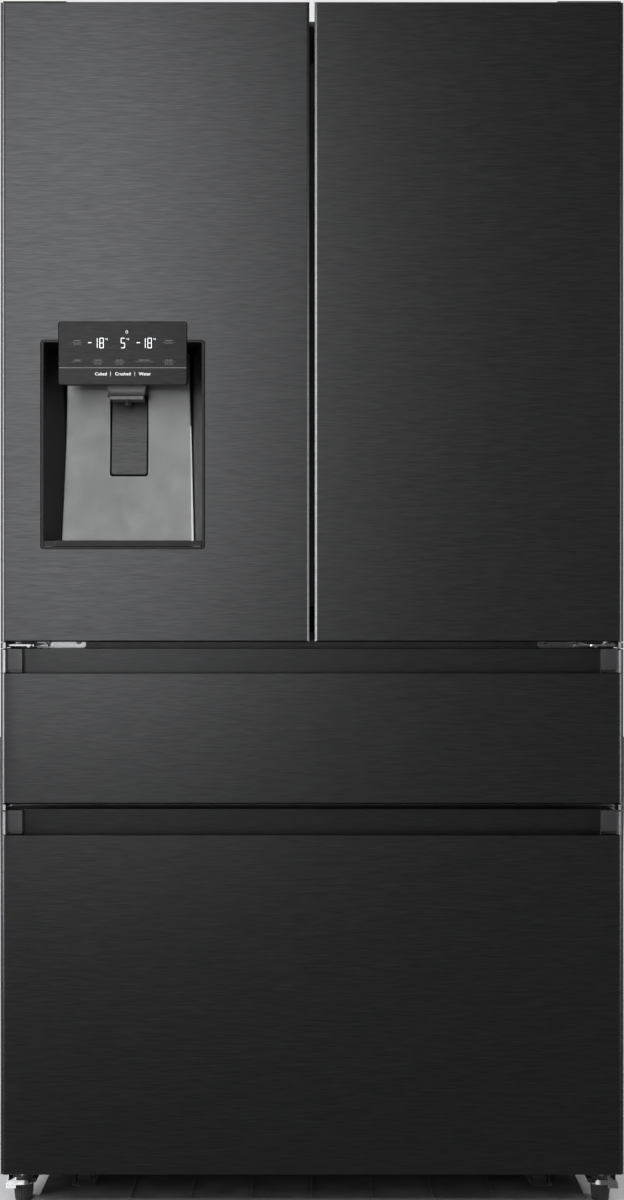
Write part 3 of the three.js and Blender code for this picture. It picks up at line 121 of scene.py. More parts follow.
def pick(piece, test, kind="FACE"):
    """Selects in edit mode the faces, edges or corners whose place and direction pass the test."""
    alone(piece)
    bpy.context.tool_settings.mesh_select_mode = [kind == k for k in ("VERT", "EDGE", "FACE")]
    mesh = piece.data
    for parts in (mesh.vertices, mesh.edges, mesh.polygons):
        parts.foreach_set("select", [False] * len(parts))
    if kind == "FACE":
        for face in mesh.polygons:
            face.select = test(face.center, face.normal)
    elif kind == "EDGE":
        for edge in mesh.edges:
            a, b = (mesh.vertices[i].co for i in edge.vertices)
            edge.select = test((a + b) / 2, (b - a).normalized())
    else:
        for corner in mesh.vertices:
            corner.select = test(corner.co, corner.normal)
    bpy.ops.object.mode_set(mode="EDIT")


everywhere = lambda c, n: True


def apply(piece, kind, **settings):
    """Adds one modifier with its settings and applies it."""
    alone(piece)
    modifier = piece.modifiers.new(kind.lower(), kind)
    for key, value in settings.items():
        setattr(modifier, key, value)
    bpy.ops.object.modifier_apply(modifier=modifier.name)


def rework(node, name):
    """A copy of a frame node with its loose triangles merged into whole faces, to be finished."""
    piece = bpy.data.objects.new(name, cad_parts[node].data.copy())
    bpy.context.scene.collection.objects.link(piece)
    pick(piece, everywhere)
    bpy.ops.mesh.remove_doubles(threshold=0.00002)
    bpy.ops.mesh.dissolve_limited(angle_limit=math.radians(1))
    return alone(piece)


def fit(piece, body, finish, slot, stands_for=(), rounding=0.0006, steps=2):
    """Rounds the sharp edges, gives the piece its finish and hangs it on the body it moves with."""
    alone(piece)
    if rounding:
        apply(piece, "BEVEL", width=rounding, segments=steps, limit_method="ANGLE",
              angle_limit=math.radians(32), use_clamp_overlap=True)
    bpy.ops.object.shade_smooth_by_angle(angle=math.radians(38))
    apply(piece, "WEIGHTED_NORMAL", mode="FACE_AREA", weight=80, keep_sharp=True)
    piece.data.materials.clear()
    piece.data.materials.append(finish)
    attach(piece, body)
    if stands_for:
        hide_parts(*stands_for)


def finish_node(node, name, body, finish, slot, **edges):
    """Refines one frame node into a finished piece that stands for it."""
    fit(rework(node, name), body, finish, slot, [node], **edges)


def shared_effect(name, inputs, outputs):
    """An empty shader group with named number inputs and number outputs."""
    group = bpy.data.node_groups.new(name, "ShaderNodeTree")
    for label, value in inputs.items():
        socket = group.interface.new_socket(name=label, in_out="INPUT", socket_type="NodeSocketFloat")
        socket.default_value = value
    for label in outputs:
        group.interface.new_socket(name=label, in_out="OUTPUT", socket_type="NodeSocketFloat")
    return group, group.nodes.new("NodeGroupInput"), group.nodes.new("NodeGroupOutput")


def product(group, value, factor):
    """Multiplies a value by a number or by another value."""
    node = group.nodes.new("ShaderNodeMath")
    node.operation = "MULTIPLY"
    group.links.new(value, node.inputs[0])
    if isinstance(factor, float):
        node.inputs[1].default_value = factor
    else:
        group.links.new(factor, node.inputs[1])
    return node.outputs[0]


def spread(group, value, low, high):
    """Stretches a narrow band of a value to the full range from 0 to 1."""
    node = group.nodes.new("ShaderNodeMapRange")
    node.inputs["From Min"].default_value = low
    node.inputs["From Max"].default_value = high
    group.links.new(value, node.inputs["Value"])
    return node.outputs["Result"]


grain, inlet, outlet = shared_effect("moulded_grain", {"Pitch": 900}, ["Grain", "Clouds"])
for label, share, detail in (("Grain", 1.0, 2), ("Clouds", 0.02, 3)):
    place = grain.nodes.new("ShaderNodeTexCoord")
    noise = grain.nodes.new("ShaderNodeTexNoise")
    noise.inputs["Detail"].default_value = detail
    grain.links.new(place.outputs["Object"], noise.inputs["Vector"])
    grain.links.new(product(grain, inlet.outputs["Pitch"], share), noise.inputs["Scale"])
    grain.links.new(spread(grain, noise.outputs["Fac"], 0.25, 0.75), outlet.inputs[label])

dust, inlet, outlet = shared_effect("settled_dust", {"Amount": 0.3}, ["Dust"])
facing = dust.nodes.new("ShaderNodeNewGeometry")
upward = dust.nodes.new("ShaderNodeSeparateXYZ")
dust.links.new(facing.outputs["Normal"], upward.inputs["Vector"])
dust_place = dust.nodes.new("ShaderNodeTexCoord")
patches = dust.nodes.new("ShaderNodeTexNoise")
patches.inputs["Scale"].default_value = 22
patches.inputs["Detail"].default_value = 5
dust.links.new(dust_place.outputs["Object"], patches.inputs["Vector"])
level_part = spread(dust, upward.outputs["Z"], 0.5, 1.0)
lying = product(dust, level_part, spread(dust, patches.outputs["Fac"], 0.35, 0.8))
dust.links.new(product(dust, lying, inlet.outputs["Amount"]), outlet.inputs["Dust"])


def new_finish(name, **even):
    """A finish whose even values are set on its own shader."""
    finish = bpy.data.materials.new(name)
    finish.use_nodes = True
    shader = finish.node_tree.nodes["Principled BSDF"]
    for label, value in even.items():
        shader.inputs[label.replace("_", " ").title().replace("Ior", "IOR")].default_value = value
    return finish


def effect(finish, group, **values):
    node = finish.node_tree.nodes.new("ShaderNodeGroup")
    node.node_tree = group
    for label, value in values.items():
        node.inputs[label.title()].default_value = value
    return node.outputs


def feed(finish, value, label):
    """Leads a value into one socket of the finish's shader."""
    finish.node_tree.links.new(value, finish.node_tree.nodes["Principled BSDF"].inputs[label])


def tint(finish, mask, plain, changed, label="Base Color"):
    """Colour that goes from plain to changed as the mask goes from 0 to 1."""
    mix = finish.node_tree.nodes.new("ShaderNodeMix")
    mix.data_type = "RGBA"
    finish.node_tree.links.new(mask, mix.inputs["Factor"])
    if isinstance(plain, tuple):
        mix.inputs["A"].default_value = (*plain, 1)
    else:
        finish.node_tree.links.new(plain, mix.inputs["A"])
    mix.inputs["B"].default_value = (*changed, 1)
    feed(finish, mix.outputs["Result"], label)
    return mix.outputs["Result"]


def gloss(finish, mask, low, high):
    node = finish.node_tree.nodes.new("ShaderNodeMapRange")
    node.inputs["To Min"].default_value = low
    node.inputs["To Max"].default_value = high
    finish.node_tree.links.new(mask, node.inputs["Value"])
    feed(finish, node.outputs["Result"], "Roughness")


def relief(finish, height, depth, strength=1.0):
    node = finish.node_tree.nodes.new("ShaderNodeBump")
    node.inputs["Distance"].default_value = depth
    node.inputs["Strength"].default_value = strength
    finish.node_tree.links.new(height, node.inputs["Height"])
    feed(finish, node.outputs["Normal"], "Normal")


def moulded(name, colour, shade, roughness, pitch, depth, **even):
    """A moulded or painted finish: fine even grain, cloudy gloss and a little settled dust."""
    finish = new_finish(name, **even)
    surface = effect(finish, grain, pitch=pitch)
    lying = effect(finish, dust, amount=0.25)
    base = tint(finish, surface["Clouds"], colour, shade)
    tint(finish, lying["Dust"], base, (0.42, 0.41, 0.39))
    gloss(finish, surface["Clouds"], roughness - 0.05, roughness + 0.06)
    relief(finish, surface["Grain"], depth)
    return finish


grey_paint = moulded("grey_paint", (0.130, 0.131, 0.134), (0.145, 0.146, 0.149), 0.40, 1500, 0.00010,
                     metallic=0.7)
finish_node("cabinet_shell", "cabinet_wrap", "cabinet", grey_paint, "grey_paint", rounding=0.0007)

wrap_low, wrap_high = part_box("cabinet_shell")

# ---------------------------------------------------------------- back panel
# The back is a thin zinc-plated sheet, screwed on all round over the foam. Pressed panels stiffen
# it, and two moulded spacers near the top keep the coils' air gap to the wall.


def settled(name):
    """Names the primitive just added, once its place and size are applied to its mesh."""
    bpy.ops.object.transform_apply()
    piece = bpy.context.object
    piece.name = name
    return piece


def cuboid(name, x, y, z):
    """A cuboid between two ends on each axis, whichever end is the lower."""
    low = Vector((min(x), min(y), min(z)))
    high = Vector((max(x), max(y), max(z)))
    clear_selection()
    bpy.ops.mesh.primitive_cube_add(size=1, location=(low + high) / 2, scale=high - low)
    return settled(name)


def rod(name, radius, ends, axis, centre, sides=32):
    """A round bar between two ends on one axis; centre gives its place on the other two."""
    clear_selection()
    middle = (ends[0] + ends[1]) / 2
    place = {"x": (middle, *centre), "y": (centre[0], middle, centre[1]), "z": (*centre, middle)}[axis]
    turn = {"x": (0, math.pi / 2, 0), "y": (math.pi / 2, 0, 0), "z": (0, 0, 0)}[axis]
    bpy.ops.mesh.primitive_cylinder_add(vertices=sides, radius=radius, depth=abs(ends[1] - ends[0]),
                                        location=place, rotation=turn)
    return settled(name)


rearward = lambda c, n: n.y > 0.9


def inset(piece, test, width, depth=0.0, apart=False):
    pick(piece, test)
    bpy.ops.mesh.inset(thickness=width, depth=depth, use_individual=apart)


def split(piece, axis, at):
    """Cuts the piece's faces across one axis at one place, without parting them."""
    across = Vector([float(a == axis) for a in "xyz"])
    pick(piece, everywhere)
    bpy.ops.mesh.bisect(plane_co=across * at, plane_no=across)


def cut(piece, *tools):
    for tool in tools:
        apply(piece, "BOOLEAN", operation="DIFFERENCE", solver="EXACT", object=tool)
        bpy.data.objects.remove(tool)


def weld(name, pieces):
    """Several worked bodies of one moulding or stamping as one piece."""
    alone(pieces[0])
    for other in pieces[1:]:
        other.select_set(True)
    bpy.ops.object.join()
    pieces[0].name = name
    return pieces[0]


def twin(piece, name, by):
    """A moved copy with its own mesh."""
    copy = piece.copy()
    copy.data = piece.data.copy()
    copy.name = name
    bpy.context.scene.collection.objects.link(copy)
    copy.data.transform(Matrix.Translation(by))
    return alone(copy)


hands = ((-1, "left"), (1, "right"))

zinc = new_finish("zinc", metallic=1.0)
spangle = effect(zinc, grain, pitch=420)
tint(zinc, spangle["Clouds"], (0.44, 0.445, 0.455), (0.52, 0.525, 0.535))
gloss(zinc, spangle["Grain"], 0.26, 0.36)
relief(zinc, spangle["Clouds"], 0.00004)
black_paint = moulded("black_paint", (0.022, 0.022, 0.023), (0.027, 0.027, 0.028), 0.45, 1100, 0.00015)
dark_plastic = moulded("dark_plastic", (0.030, 0.030, 0.032), (0.036, 0.036, 0.038), 0.40, 1300, 0.00015)

sheet_low, sheet_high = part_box("back_panel")
panel_back = wrap_high.y
panel_side = sheet_high.x
columns = (-0.15, 0.15)
rows = (0.72, 1.14, 1.56)
back_sheet = cuboid("back_sheet", (-panel_side, panel_side), (panel_back - 0.0015, panel_back),
                    (sheet_low.z, sheet_high.z))
for x in columns:
    split(back_sheet, "x", x)
for z in rows:
    split(back_sheet, "z", z)
pressed = lambda c, n: n.y > 0.9 and c.z < rows[-1]
inset(back_sheet, pressed, 0.030, 0.0, apart=True)


def field_middle(c, n):
    """The middle field of each pressed panel, inside its flat border."""
    in_column = min(abs(c.x), abs(abs(c.x) - 0.301)) < 0.004
    in_row = min(abs(c.z - z) for z in (0.51, 0.93, 1.35)) < 0.006
    return pressed(c, n) and in_column and in_row


inset(back_sheet, field_middle, 0.006, 0.0025, apart=True)
fit(back_sheet, "cabinet", zinc, "grey_paint", ["back_panel"], rounding=0.0008)

spacer_x = (0.326, 0.386)
spacer_z = (1.6285, 1.6685)
for side, word in hands:
    spacer = cuboid("wall_spacer_" + word, [side * x for x in spacer_x], (panel_back, sheet_high.y),
                    spacer_z)
    inset(spacer, rearward, 0.010, -0.003)
    fit(spacer, "cabinet", dark_plastic, "dark_plastic", rounding=0.0015, steps=3)


def screw(name, place, facing, radius=0.0040, height=0.0022):
    """A domed cross-head screw whose head rises from its place towards y or z, + or -."""
    sign = 1 if facing[0] == "+" else -1
    axis = facing[1]
    along = place["xyz".index(axis)]
    centre = [v for v, a in zip(place, "xyz") if a != axis]
    head = rod(name, radius, (along, along + sign * height), axis, centre, 20)
    outward = Vector([sign * (a == axis) for a in "xyz"])
    top = lambda c, n: n.dot(outward) > 0.9
    inset(head, top, radius * 0.35, height * 0.35)
    arms = []
    for turn in (0, 1):
        size = [radius * 0.18] * 3
        across = [i for i, a in enumerate("xyz") if a != axis]
        size[across[turn]] = radius * 0.62
        size["xyz".index(axis)] = height
        tip = Vector(place) + outward * height * 1.5
        arms.append(cuboid(name + "_slot", *[(t - s, t + s) for t, s in zip(tip, size)]))
    cut(head, *arms)
    return head


def screws(name, places, facing, body, finish, **size):
    pattern = screw(name, (0, 0, 0), facing, **size)
    row = [twin(pattern, name, place) for place in places]
    bpy.data.objects.remove(pattern)
    fit(weld(name, row), body, finish, "zinc", rounding=0)


edge_screws = [(side * 0.4450, panel_back, 0.34 + 0.158 * i) for side in (-1, 1) for i in range(9)]
edge_screws += [(-0.36 + 0.144 * i, panel_back, 1.7600) for i in range(6)]
screws("back_screws", edge_screws, "+y", "cabinet", zinc)

# ---------------------------------------------------------------- rear cover
# The machine room is closed by a black board with hooded louvres, screwed on, with the gland
# for the supply cord low on one side and the water inlet beside it.
depth_edge = lambda c, d: abs(d.y) > 0.9

near = lambda a, b: abs(a - b) < 0.0001


def push(piece, test, by):
    pick(piece, test)
    bpy.ops.mesh.extrude_region_move(TRANSFORM_OT_translate={"value": by})


def round_corners(piece, test, radius, steps=4):
    pick(piece, test, "EDGE")
    bpy.ops.mesh.bevel(offset=radius, segments=steps, affect="EDGES")


finish_node("rear_cover", "machine_room_cover", "cabinet", black_paint, "black_paint", rounding=0.0008)
cover_screws = [(x, panel_back, z) for x in (-0.437, -0.15, 0.15, 0.437) for z in (0.284, 0.110)]
screws("cover_screws", cover_screws, "+y", "cabinet", zinc)
rubber = moulded("rubber", (0.020, 0.020, 0.021), (0.026, 0.026, 0.027), 0.62, 1000, 0.0001)
finish_node("cord_gland", "cord_inlet", "cabinet", rubber, "rubber", rounding=0.0006)
inlet_body = cuboid("water_inlet", (-0.4330, -0.4030), (panel_back - 0.001, panel_back + 0.0045),
                    (0.064, 0.100))
inset(inlet_body, rearward, 0.006, 0.0015)
round_corners(inlet_body, depth_edge, 0.004, 4)
fit(inlet_body, "cabinet", dark_plastic, "dark_plastic", rounding=0.0006)
spigot = rod("water_inlet_spigot", 0.0070, (panel_back + 0.004, panel_back + 0.0078), "y",
             (-0.418, 0.082), 24)
inset(spigot, rearward, 0.0025)
push(spigot, lambda c, n: n.y > 0.9 and near(c.x, -0.418), (0, -0.003, 0))
fit(spigot, "cabinet", zinc, "zinc", rounding=0.0004)

# ---------------------------------------------------------------- compressor and fan
# The compressor is a welded steel can on rubber feet, with a terminal box and copper tubes. The
# condenser fan blows across it from a bracket of the chassis.
upper_face = lambda c, n: n.z > 0.9

copper = new_finish("copper", metallic=1.0)
tarnish = effect(copper, grain, pitch=300)
tint(copper, tarnish["Clouds"], (0.62, 0.29, 0.17), (0.42, 0.20, 0.12))
gloss(copper, tarnish["Grain"], 0.22, 0.38)
can_low, can_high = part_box("compressor")
can_x, can_y = (can_low.x + can_high.x) / 2, (can_low.y + can_high.y) / 2
finish_node("compressor", "compressor_can", "cabinet", black_paint, "black_paint", rounding=0.002,
            steps=3)
box_x = can_x + 0.0845
terminals = cuboid("compressor_terminals", (box_x, box_x + 0.032), (can_y - 0.028, can_y + 0.028),
                   (0.095, 0.150))
inset(terminals, lambda c, n: n.x > 0.9, 0.006, 0.002)
fit(terminals, "cabinet", dark_plastic, "dark_plastic", rounding=0.002, steps=3)
for word, x, y in (("suction", -0.030, 0.020), ("discharge", 0.030, 0.030), ("process", 0.0, 0.045)):
    tube = rod(word + "_tube", 0.0035, (0.206, 0.232), "z", (can_x + x, can_y - y), 16)
    push(tube, upper_face, (0, 0, 0.008))
    bpy.ops.transform.translate(value=(0, -0.004, 0))
    push(tube, lambda c, n: n.z > 0.3 and c.z > 0.235, (0, -0.018, 0.004))
    fit(tube, "cabinet", copper, "zinc", rounding=0.0006)
finish_node("condenser_fan", "condenser_fan_wheel", "condenser_fan", dark_plastic, "dark_plastic",
            rounding=0.0004)

# ---------------------------------------------------------------- chassis, feet and rollers
# The chassis is pressed from black painted sheet. In each front corner a zinc bracket carries a
# levelling foot, a ribbed knob on a screw, and a roller on an axle sits further in.
under_face = lambda c, n: n.z < -0.9

end_face = lambda c, n: abs(n.x) > 0.9

upright_edge = lambda c, d: abs(d.z) > 0.9


def move(piece, test, by):
    pick(piece, test, "VERT")
    bpy.ops.transform.translate(value=by)


def resize(piece, test, factors, centre):
    pick(piece, test, "VERT")
    bpy.ops.transform.resize(value=factors, center_override=centre)


chassis = rework("base_frame", "chassis")
move(chassis, lambda c, n: c.y < -0.3210 and c.z < 0.0360, (0, 0.0100, 0))
fit(chassis, "cabinet", black_paint, "black_paint", ["base_frame"], rounding=0.0006)
foot_low, foot_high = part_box("foot_left")
foot_x, foot_y = -(foot_low.x + foot_high.x) / 2, (foot_low.y + foot_high.y) / 2
knob_height = 0.0262
knob_rib = 7.5
thread_pitch = 0.0018
thread_start = knob_height + 0.0008
for side, word in hands:
    centre = (side * foot_x, foot_y)
    knob = rod("foot_knob_" + word, 0.0145, (0, knob_height), "z", centre, 48)
    split(knob, "z", 0.0160)
    reach = lambda c: math.hypot(c.x - centre[0], c.y - centre[1])
    turn = lambda c: math.degrees(math.atan2(c.y - centre[1], c.x - centre[0]))
    valley = lambda c, n: round(turn(c) / knob_rib) % 2 == 0 and reach(c) > 0.010
    resize(knob, valley, (0.93, 0.93, 1), (*centre, 0))
    resize(knob, lambda c, n: c.z < 0.001, (0.87, 0.87, 1), (*centre, 0))
    inset(knob, upper_face, 0.0022, 0.0)
    stem = rod("foot_stem_" + word, 0.0050, (knob_height - 0.002, 0.0480), "z", centre, 24)
    for level in range(11):
        split(stem, "z", thread_start + level * thread_pitch)
    root = lambda c: round((c.z - thread_start) / thread_pitch) % 2 == 0
    thread = lambda c, n: knob_height < c.z < 0.0465 and root(c)
    resize(stem, thread, (0.86, 0.86, 1), (*centre, 0))
    fit(knob, "foot_" + word, dark_plastic, "dark_plastic", ["foot_" + word], rounding=0.0003)
    fit(stem, "foot_" + word, zinc, "zinc", rounding=0)

    # The bracket wraps the corner: a plate under the chassis rail with a raised outer ear and a
    # curved front flange, leaning back, that reaches past the knob.
    outer = side * 0.4535
    plate_low, plate_high = 0.0272, 0.0288
    bracket = cuboid("foot_bracket_" + word, (side * 0.4125, outer), (-0.3160, -0.2640),
                     (plate_low, plate_high))
    inner_corner = lambda c, d: abs(d.z) > 0.9 and c.y < -0.3 and abs(c.x) < 0.43
    round_corners(bracket, inner_corner, 0.018, 8)
    push(bracket, lambda c, n: n.y < -0.3 and abs(c.x) < 0.4530, (0, -0.0060, 0))
    flange_top = lambda c, n: c.y < -0.3195 and c.z > plate_high - 0.0004
    move(bracket, flange_top, (0, 0.0028, 0.0052))
    wall = cuboid("foot_bracket_ear", (outer, side * 0.4521), (-0.3205, -0.2640), (0.0215, 0.0480))
    move(wall, lambda c, n: c.y < -0.3 and c.z > 0.04, (0, 0.010, -0.008))
    wing = cuboid("foot_bracket_wing", (side * 0.4400, side * 0.4555), (-0.3220, -0.3205),
                  (0.0222, 0.0302))
    move(wing, lambda c, n: c.z > 0.03, (0, 0.0030, 0))
    move(wing, lambda c, n: c.z > 0.03 and abs(c.x) < 0.45, (0, 0.0025, 0.0080))
    hole = rod("stem_hole", 0.0056, (0.010, 0.040), "z", centre, 24)
    cut(bracket, hole)
    fit(weld("foot_bracket_" + word, [bracket, wall, wing]), "cabinet", zinc, "zinc", rounding=0.0004)
    disc = rod("foot_washer_" + word, 0.0165, (0.0345, 0.0370), "z", centre, 32)
    inset(disc, under_face, 0.004, -0.0005)
    fit(disc, "cabinet", black_paint, "black_paint", rounding=0.0004)

# A black moulded guard is clipped under the front of the chassis, close over the floor, with openings for
# the rollers. This dark grey sheet stands for the shade on the floor under the cabinet front: a painted
# shade.
guard_shade_grey = moulded("guard_shade_grey", (0.080, 0.080, 0.082), (0.095, 0.095, 0.097), 0.5, 1300, 0.00015)
guard = cuboid("base_shade_guard", (-0.4070, 0.4070), (-0.3220, -0.1800), (0.0050, 0.0075))
roller_x = 0.347
opening_half = 0.018
for side, word in hands:
    opening_x = [side * roller_x + end for end in (-opening_half, opening_half)]
    opening = cuboid("roller_opening", opening_x, (-0.2700, -0.2230), (0, 0.02))
    round_corners(opening, upright_edge, 0.004, 3)
    cut(guard, opening)
push(guard, lambda c, n: n.y > 0.9 and c.y > -0.19, (0, 0.003, 0))
push(guard, lambda c, n: n.z > 0.9 and c.y > -0.18, (0, 0, 0.0280))
guard_rib_pitch = 0.09
for step in range(-3, 4):
    x = step * guard_rib_pitch
    rib = cuboid("guard_rib", (x - 0.001, x + 0.001), (-0.3200, -0.1790), (0.0074, 0.0086))
    move(rib, lambda c, n: c.y < -0.3 and c.z > 0.008, (0, 0.002, 0))
    guard = weld("base_shade_guard", [guard, rib])
fit(guard, "cabinet", guard_shade_grey, "black_paint", rounding=0.0004)

for place in ("front", "rear"):
    for word in ("left", "right"):
        node = "roller_%s_%s" % (place, word)
        low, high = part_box(node)
        y, z = (low.y + high.y) / 2, (low.z + high.z) / 2
        radius = (high.z - low.z) / 2
        wheel = rod(node + "_wheel", radius, (low.x, high.x), "x", (y, z), 40)
        for x in (low.x + 0.0035, high.x - 0.0035):
            split(wheel, "x", x)
        at_end = lambda c: near(c.x, low.x) or near(c.x, high.x)
        resize(wheel, lambda c, n: at_end(c), (1, 0.90, 0.90), (0, y, z))
        inset(wheel, lambda c, n: end_face(c, n) and at_end(c), 0.0035, -0.0015)
        hub = lambda c, n: end_face(c, n) and math.hypot(c.y - y, c.z - z) < 0.001
        inset(wheel, hub, 0.0035, 0.0005)
        fit(wheel, node, rubber, "rubber", [node], rounding=0.0004)

# ---------------------------------------------------------------- liners
# The two food rooms are vacuum-formed white liners with rounded corners, foamed in behind. Ribs
# moulded in their sides carry the shelves.
white_plastic = moulded("white_plastic", (0.78, 0.785, 0.79), (0.74, 0.745, 0.755), 0.30, 1200, 0.00004)
foam_beige = moulded("foam_beige", (0.62, 0.52, 0.30), (0.52, 0.43, 0.24), 0.85, 700, 0.0006)
for node, name in (("fridge_liner", "fridge_room_liner"), ("lower_liner", "drawer_bays_liner")):
    finish_node(node, name, "cabinet", white_plastic, "white_plastic", rounding=0.0007, steps=3)
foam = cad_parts["insulation_foam"]
foam.data.materials.clear()
foam.data.materials.append(foam_beige)

room_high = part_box("fridge_liner")[1]
room_back = room_high.y - 0.002
duct = cuboid("air_duct", (-0.110, 0.110), (room_back - 0.024, room_back), (1.090, room_high.z - 0.020))
mouths = (1.20, 1.34, 1.52, 1.66)
mouth_half = 0.007
for z in mouths:
    split(duct, "z", z - mouth_half)
    split(duct, "z", z + mouth_half)
mouth = lambda c, n: n.y < -0.9 and min(abs(c.z - z) for z in mouths) < 0.004
inset(duct, mouth, 0.003, -0.010, apart=True)
round_corners(duct, lambda c, d: abs(d.z) > 0.9 and c.y < room_back - 0.02, 0.016, 5)
fit(duct, "cabinet", white_plastic, "white_plastic", rounding=0.0015, steps=3)

lamp_lens = new_finish("lamp_lens", base_color=(0.9, 0.9, 0.9, 1), roughness=0.35, emission_strength=0.25)
frost = effect(lamp_lens, grain, pitch=500)
tint(lamp_lens, frost["Clouds"], (0.80, 0.84, 0.90), (0.95, 0.97, 1.0), "Emission Color")
for side, word in hands:
    lamp = cuboid("side_lamp_" + word, (side * 0.4068, side * 0.4040), (-0.215, -0.190), (1.12, 1.66))
    inset(lamp, lambda c, n: abs(n.x) > 0.9 and abs(c.x) < 0.405, 0.003, 0.0008)
    fit(lamp, "cabinet", lamp_lens, "white_plastic", rounding=0.0008)

# ---------------------------------------------------------------- shelves
# Each shelf is a sheet of tempered glass bonded into a moulded front rail and a rear rail.
clear_glass = new_finish("clear_glass", base_color=(0.90, 0.96, 0.94, 1), transmission_weight=0.9,
                         ior=1.5)
smears = effect(clear_glass, grain, pitch=300)
gloss(clear_glass, smears["Clouds"], 0.02, 0.07)
for node in ("shelf_lower", "shelf_upper"):
    low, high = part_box(node)
    glass = cuboid(node + "_glass", (low.x, high.x), (low.y + 0.006, high.y),
                   (high.z - 0.005, high.z - 0.0004))
    round_corners(glass, upright_edge, 0.006, 4)
    fit(glass, "cabinet", clear_glass, "glass", [node], rounding=0.0008)
    rail = cuboid(node + "_front_rail", (low.x + 0.009, high.x - 0.009), (low.y, low.y + 0.020),
                  (low.z, high.z))
    move(rail, lambda c, n: c.z < low.z + 0.001 and c.y < low.y + 0.001, (0, 0.004, 0))
    split(rail, "y", low.y + 0.008)
    move(rail, lambda c, n: c.y > low.y + 0.010 and c.z < low.z + 0.001, (0, 0, 0.008))
    fit(rail, "cabinet", white_plastic, "white_plastic", rounding=0.0012, steps=3)
    rear_rail = cuboid(node + "_rear_rail", (low.x + 0.010, high.x - 0.010),
                       (high.y - 0.014, high.y + 0.002), (high.z - 0.009, high.z + 0.006))
    move(rear_rail, lambda c, n: c.z > high.z and c.y < high.y - 0.010, (0, 0.008, 0))
    fit(rear_rail, "cabinet", white_plastic, "white_plastic", rounding=0.0012, steps=3)

# ---------------------------------------------------------------- crispers
# Two clear drawers for vegetables stand under the lower shelf, with a white front bar each.
frontal = lambda c, n: n.y < -0.9

clear_plastic = new_finish("clear_plastic", base_color=(0.86, 0.91, 0.94, 1), transmission_weight=0.8,
                           ior=1.49)
scuffs = effect(clear_plastic, grain, pitch=700)
gloss(clear_plastic, scuffs["Clouds"], 0.08, 0.18)
relief(clear_plastic, scuffs["Grain"], 0.00002)
for side, word in hands:
    node = "crisper_" + word
    low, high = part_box(node)
    finish_node(node, node + "_tub", "cabinet", clear_plastic, "clear_plastic", rounding=0.0012, steps=3)
    bar = cuboid(node + "_bar", (low.x + 0.004, high.x - 0.004), (low.y + 0.0105, low.y + 0.0145),
                 (high.z - 0.050, high.z - 0.002))
    push(bar, frontal, (0, -0.002, 0))
    inset(bar, lambda c, n: n.y < -0.9 and c.y < low.y + 0.009, 0.005, 0.0012)
    fit(bar, "cabinet", white_plastic, "white_plastic", rounding=0.0010, steps=3)

# ---------------------------------------------------------------- drawer rails
# The fixed rails of both drawers are bent from zinc-plated strip and tied across the back.
for node in ("middle_rails", "freezer_rails"):
    finish_node(node, node + "_strip", "cabinet", zinc, "zinc", rounding=0.0006)
    low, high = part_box(node)
    bolt_x = high.x - 0.0142
    bolt_z = (low.z + high.z) / 2 + 0.013
    heads = []
    for side, y in [(side, y) for side in (-1, 1) for y in (-0.20, 0.0, 0.15)]:
        ends = (side * bolt_x - 0.0008, side * bolt_x + 0.0008)
        head = rod(node + "_bolt", 0.0022, ends, "x", (y, bolt_z), 12)
        inset(head, end_face, 0.0008, 0.0003)
        heads.append(head)
    fit(weld(node + "_bolts", heads), "cabinet", zinc, "zinc", rounding=0)

# ---------------------------------------------------------------- evaporator and its cover
# Cold is made behind a white cover with air slots: aluminium fins on a looped tube, and a fan.
fin_aluminium = new_finish("fin_aluminium", metallic=1.0)
oxide = effect(fin_aluminium, grain, pitch=500)
tint(fin_aluminium, oxide["Clouds"], (0.72, 0.73, 0.75), (0.60, 0.61, 0.63))
gloss(fin_aluminium, oxide["Grain"], 0.30, 0.45)
finish_node("evaporator", "evaporator_block", "cabinet", fin_aluminium, "fin_aluminium", rounding=0.0004)
finish_node("evaporator_fan", "evaporator_fan_wheel", "evaporator_fan", dark_plastic, "dark_plastic",
            rounding=0.0004)
finish_node("evaporator_cover", "evaporator_slotted_cover", "cabinet", white_plastic, "white_plastic",
            rounding=0.0008)

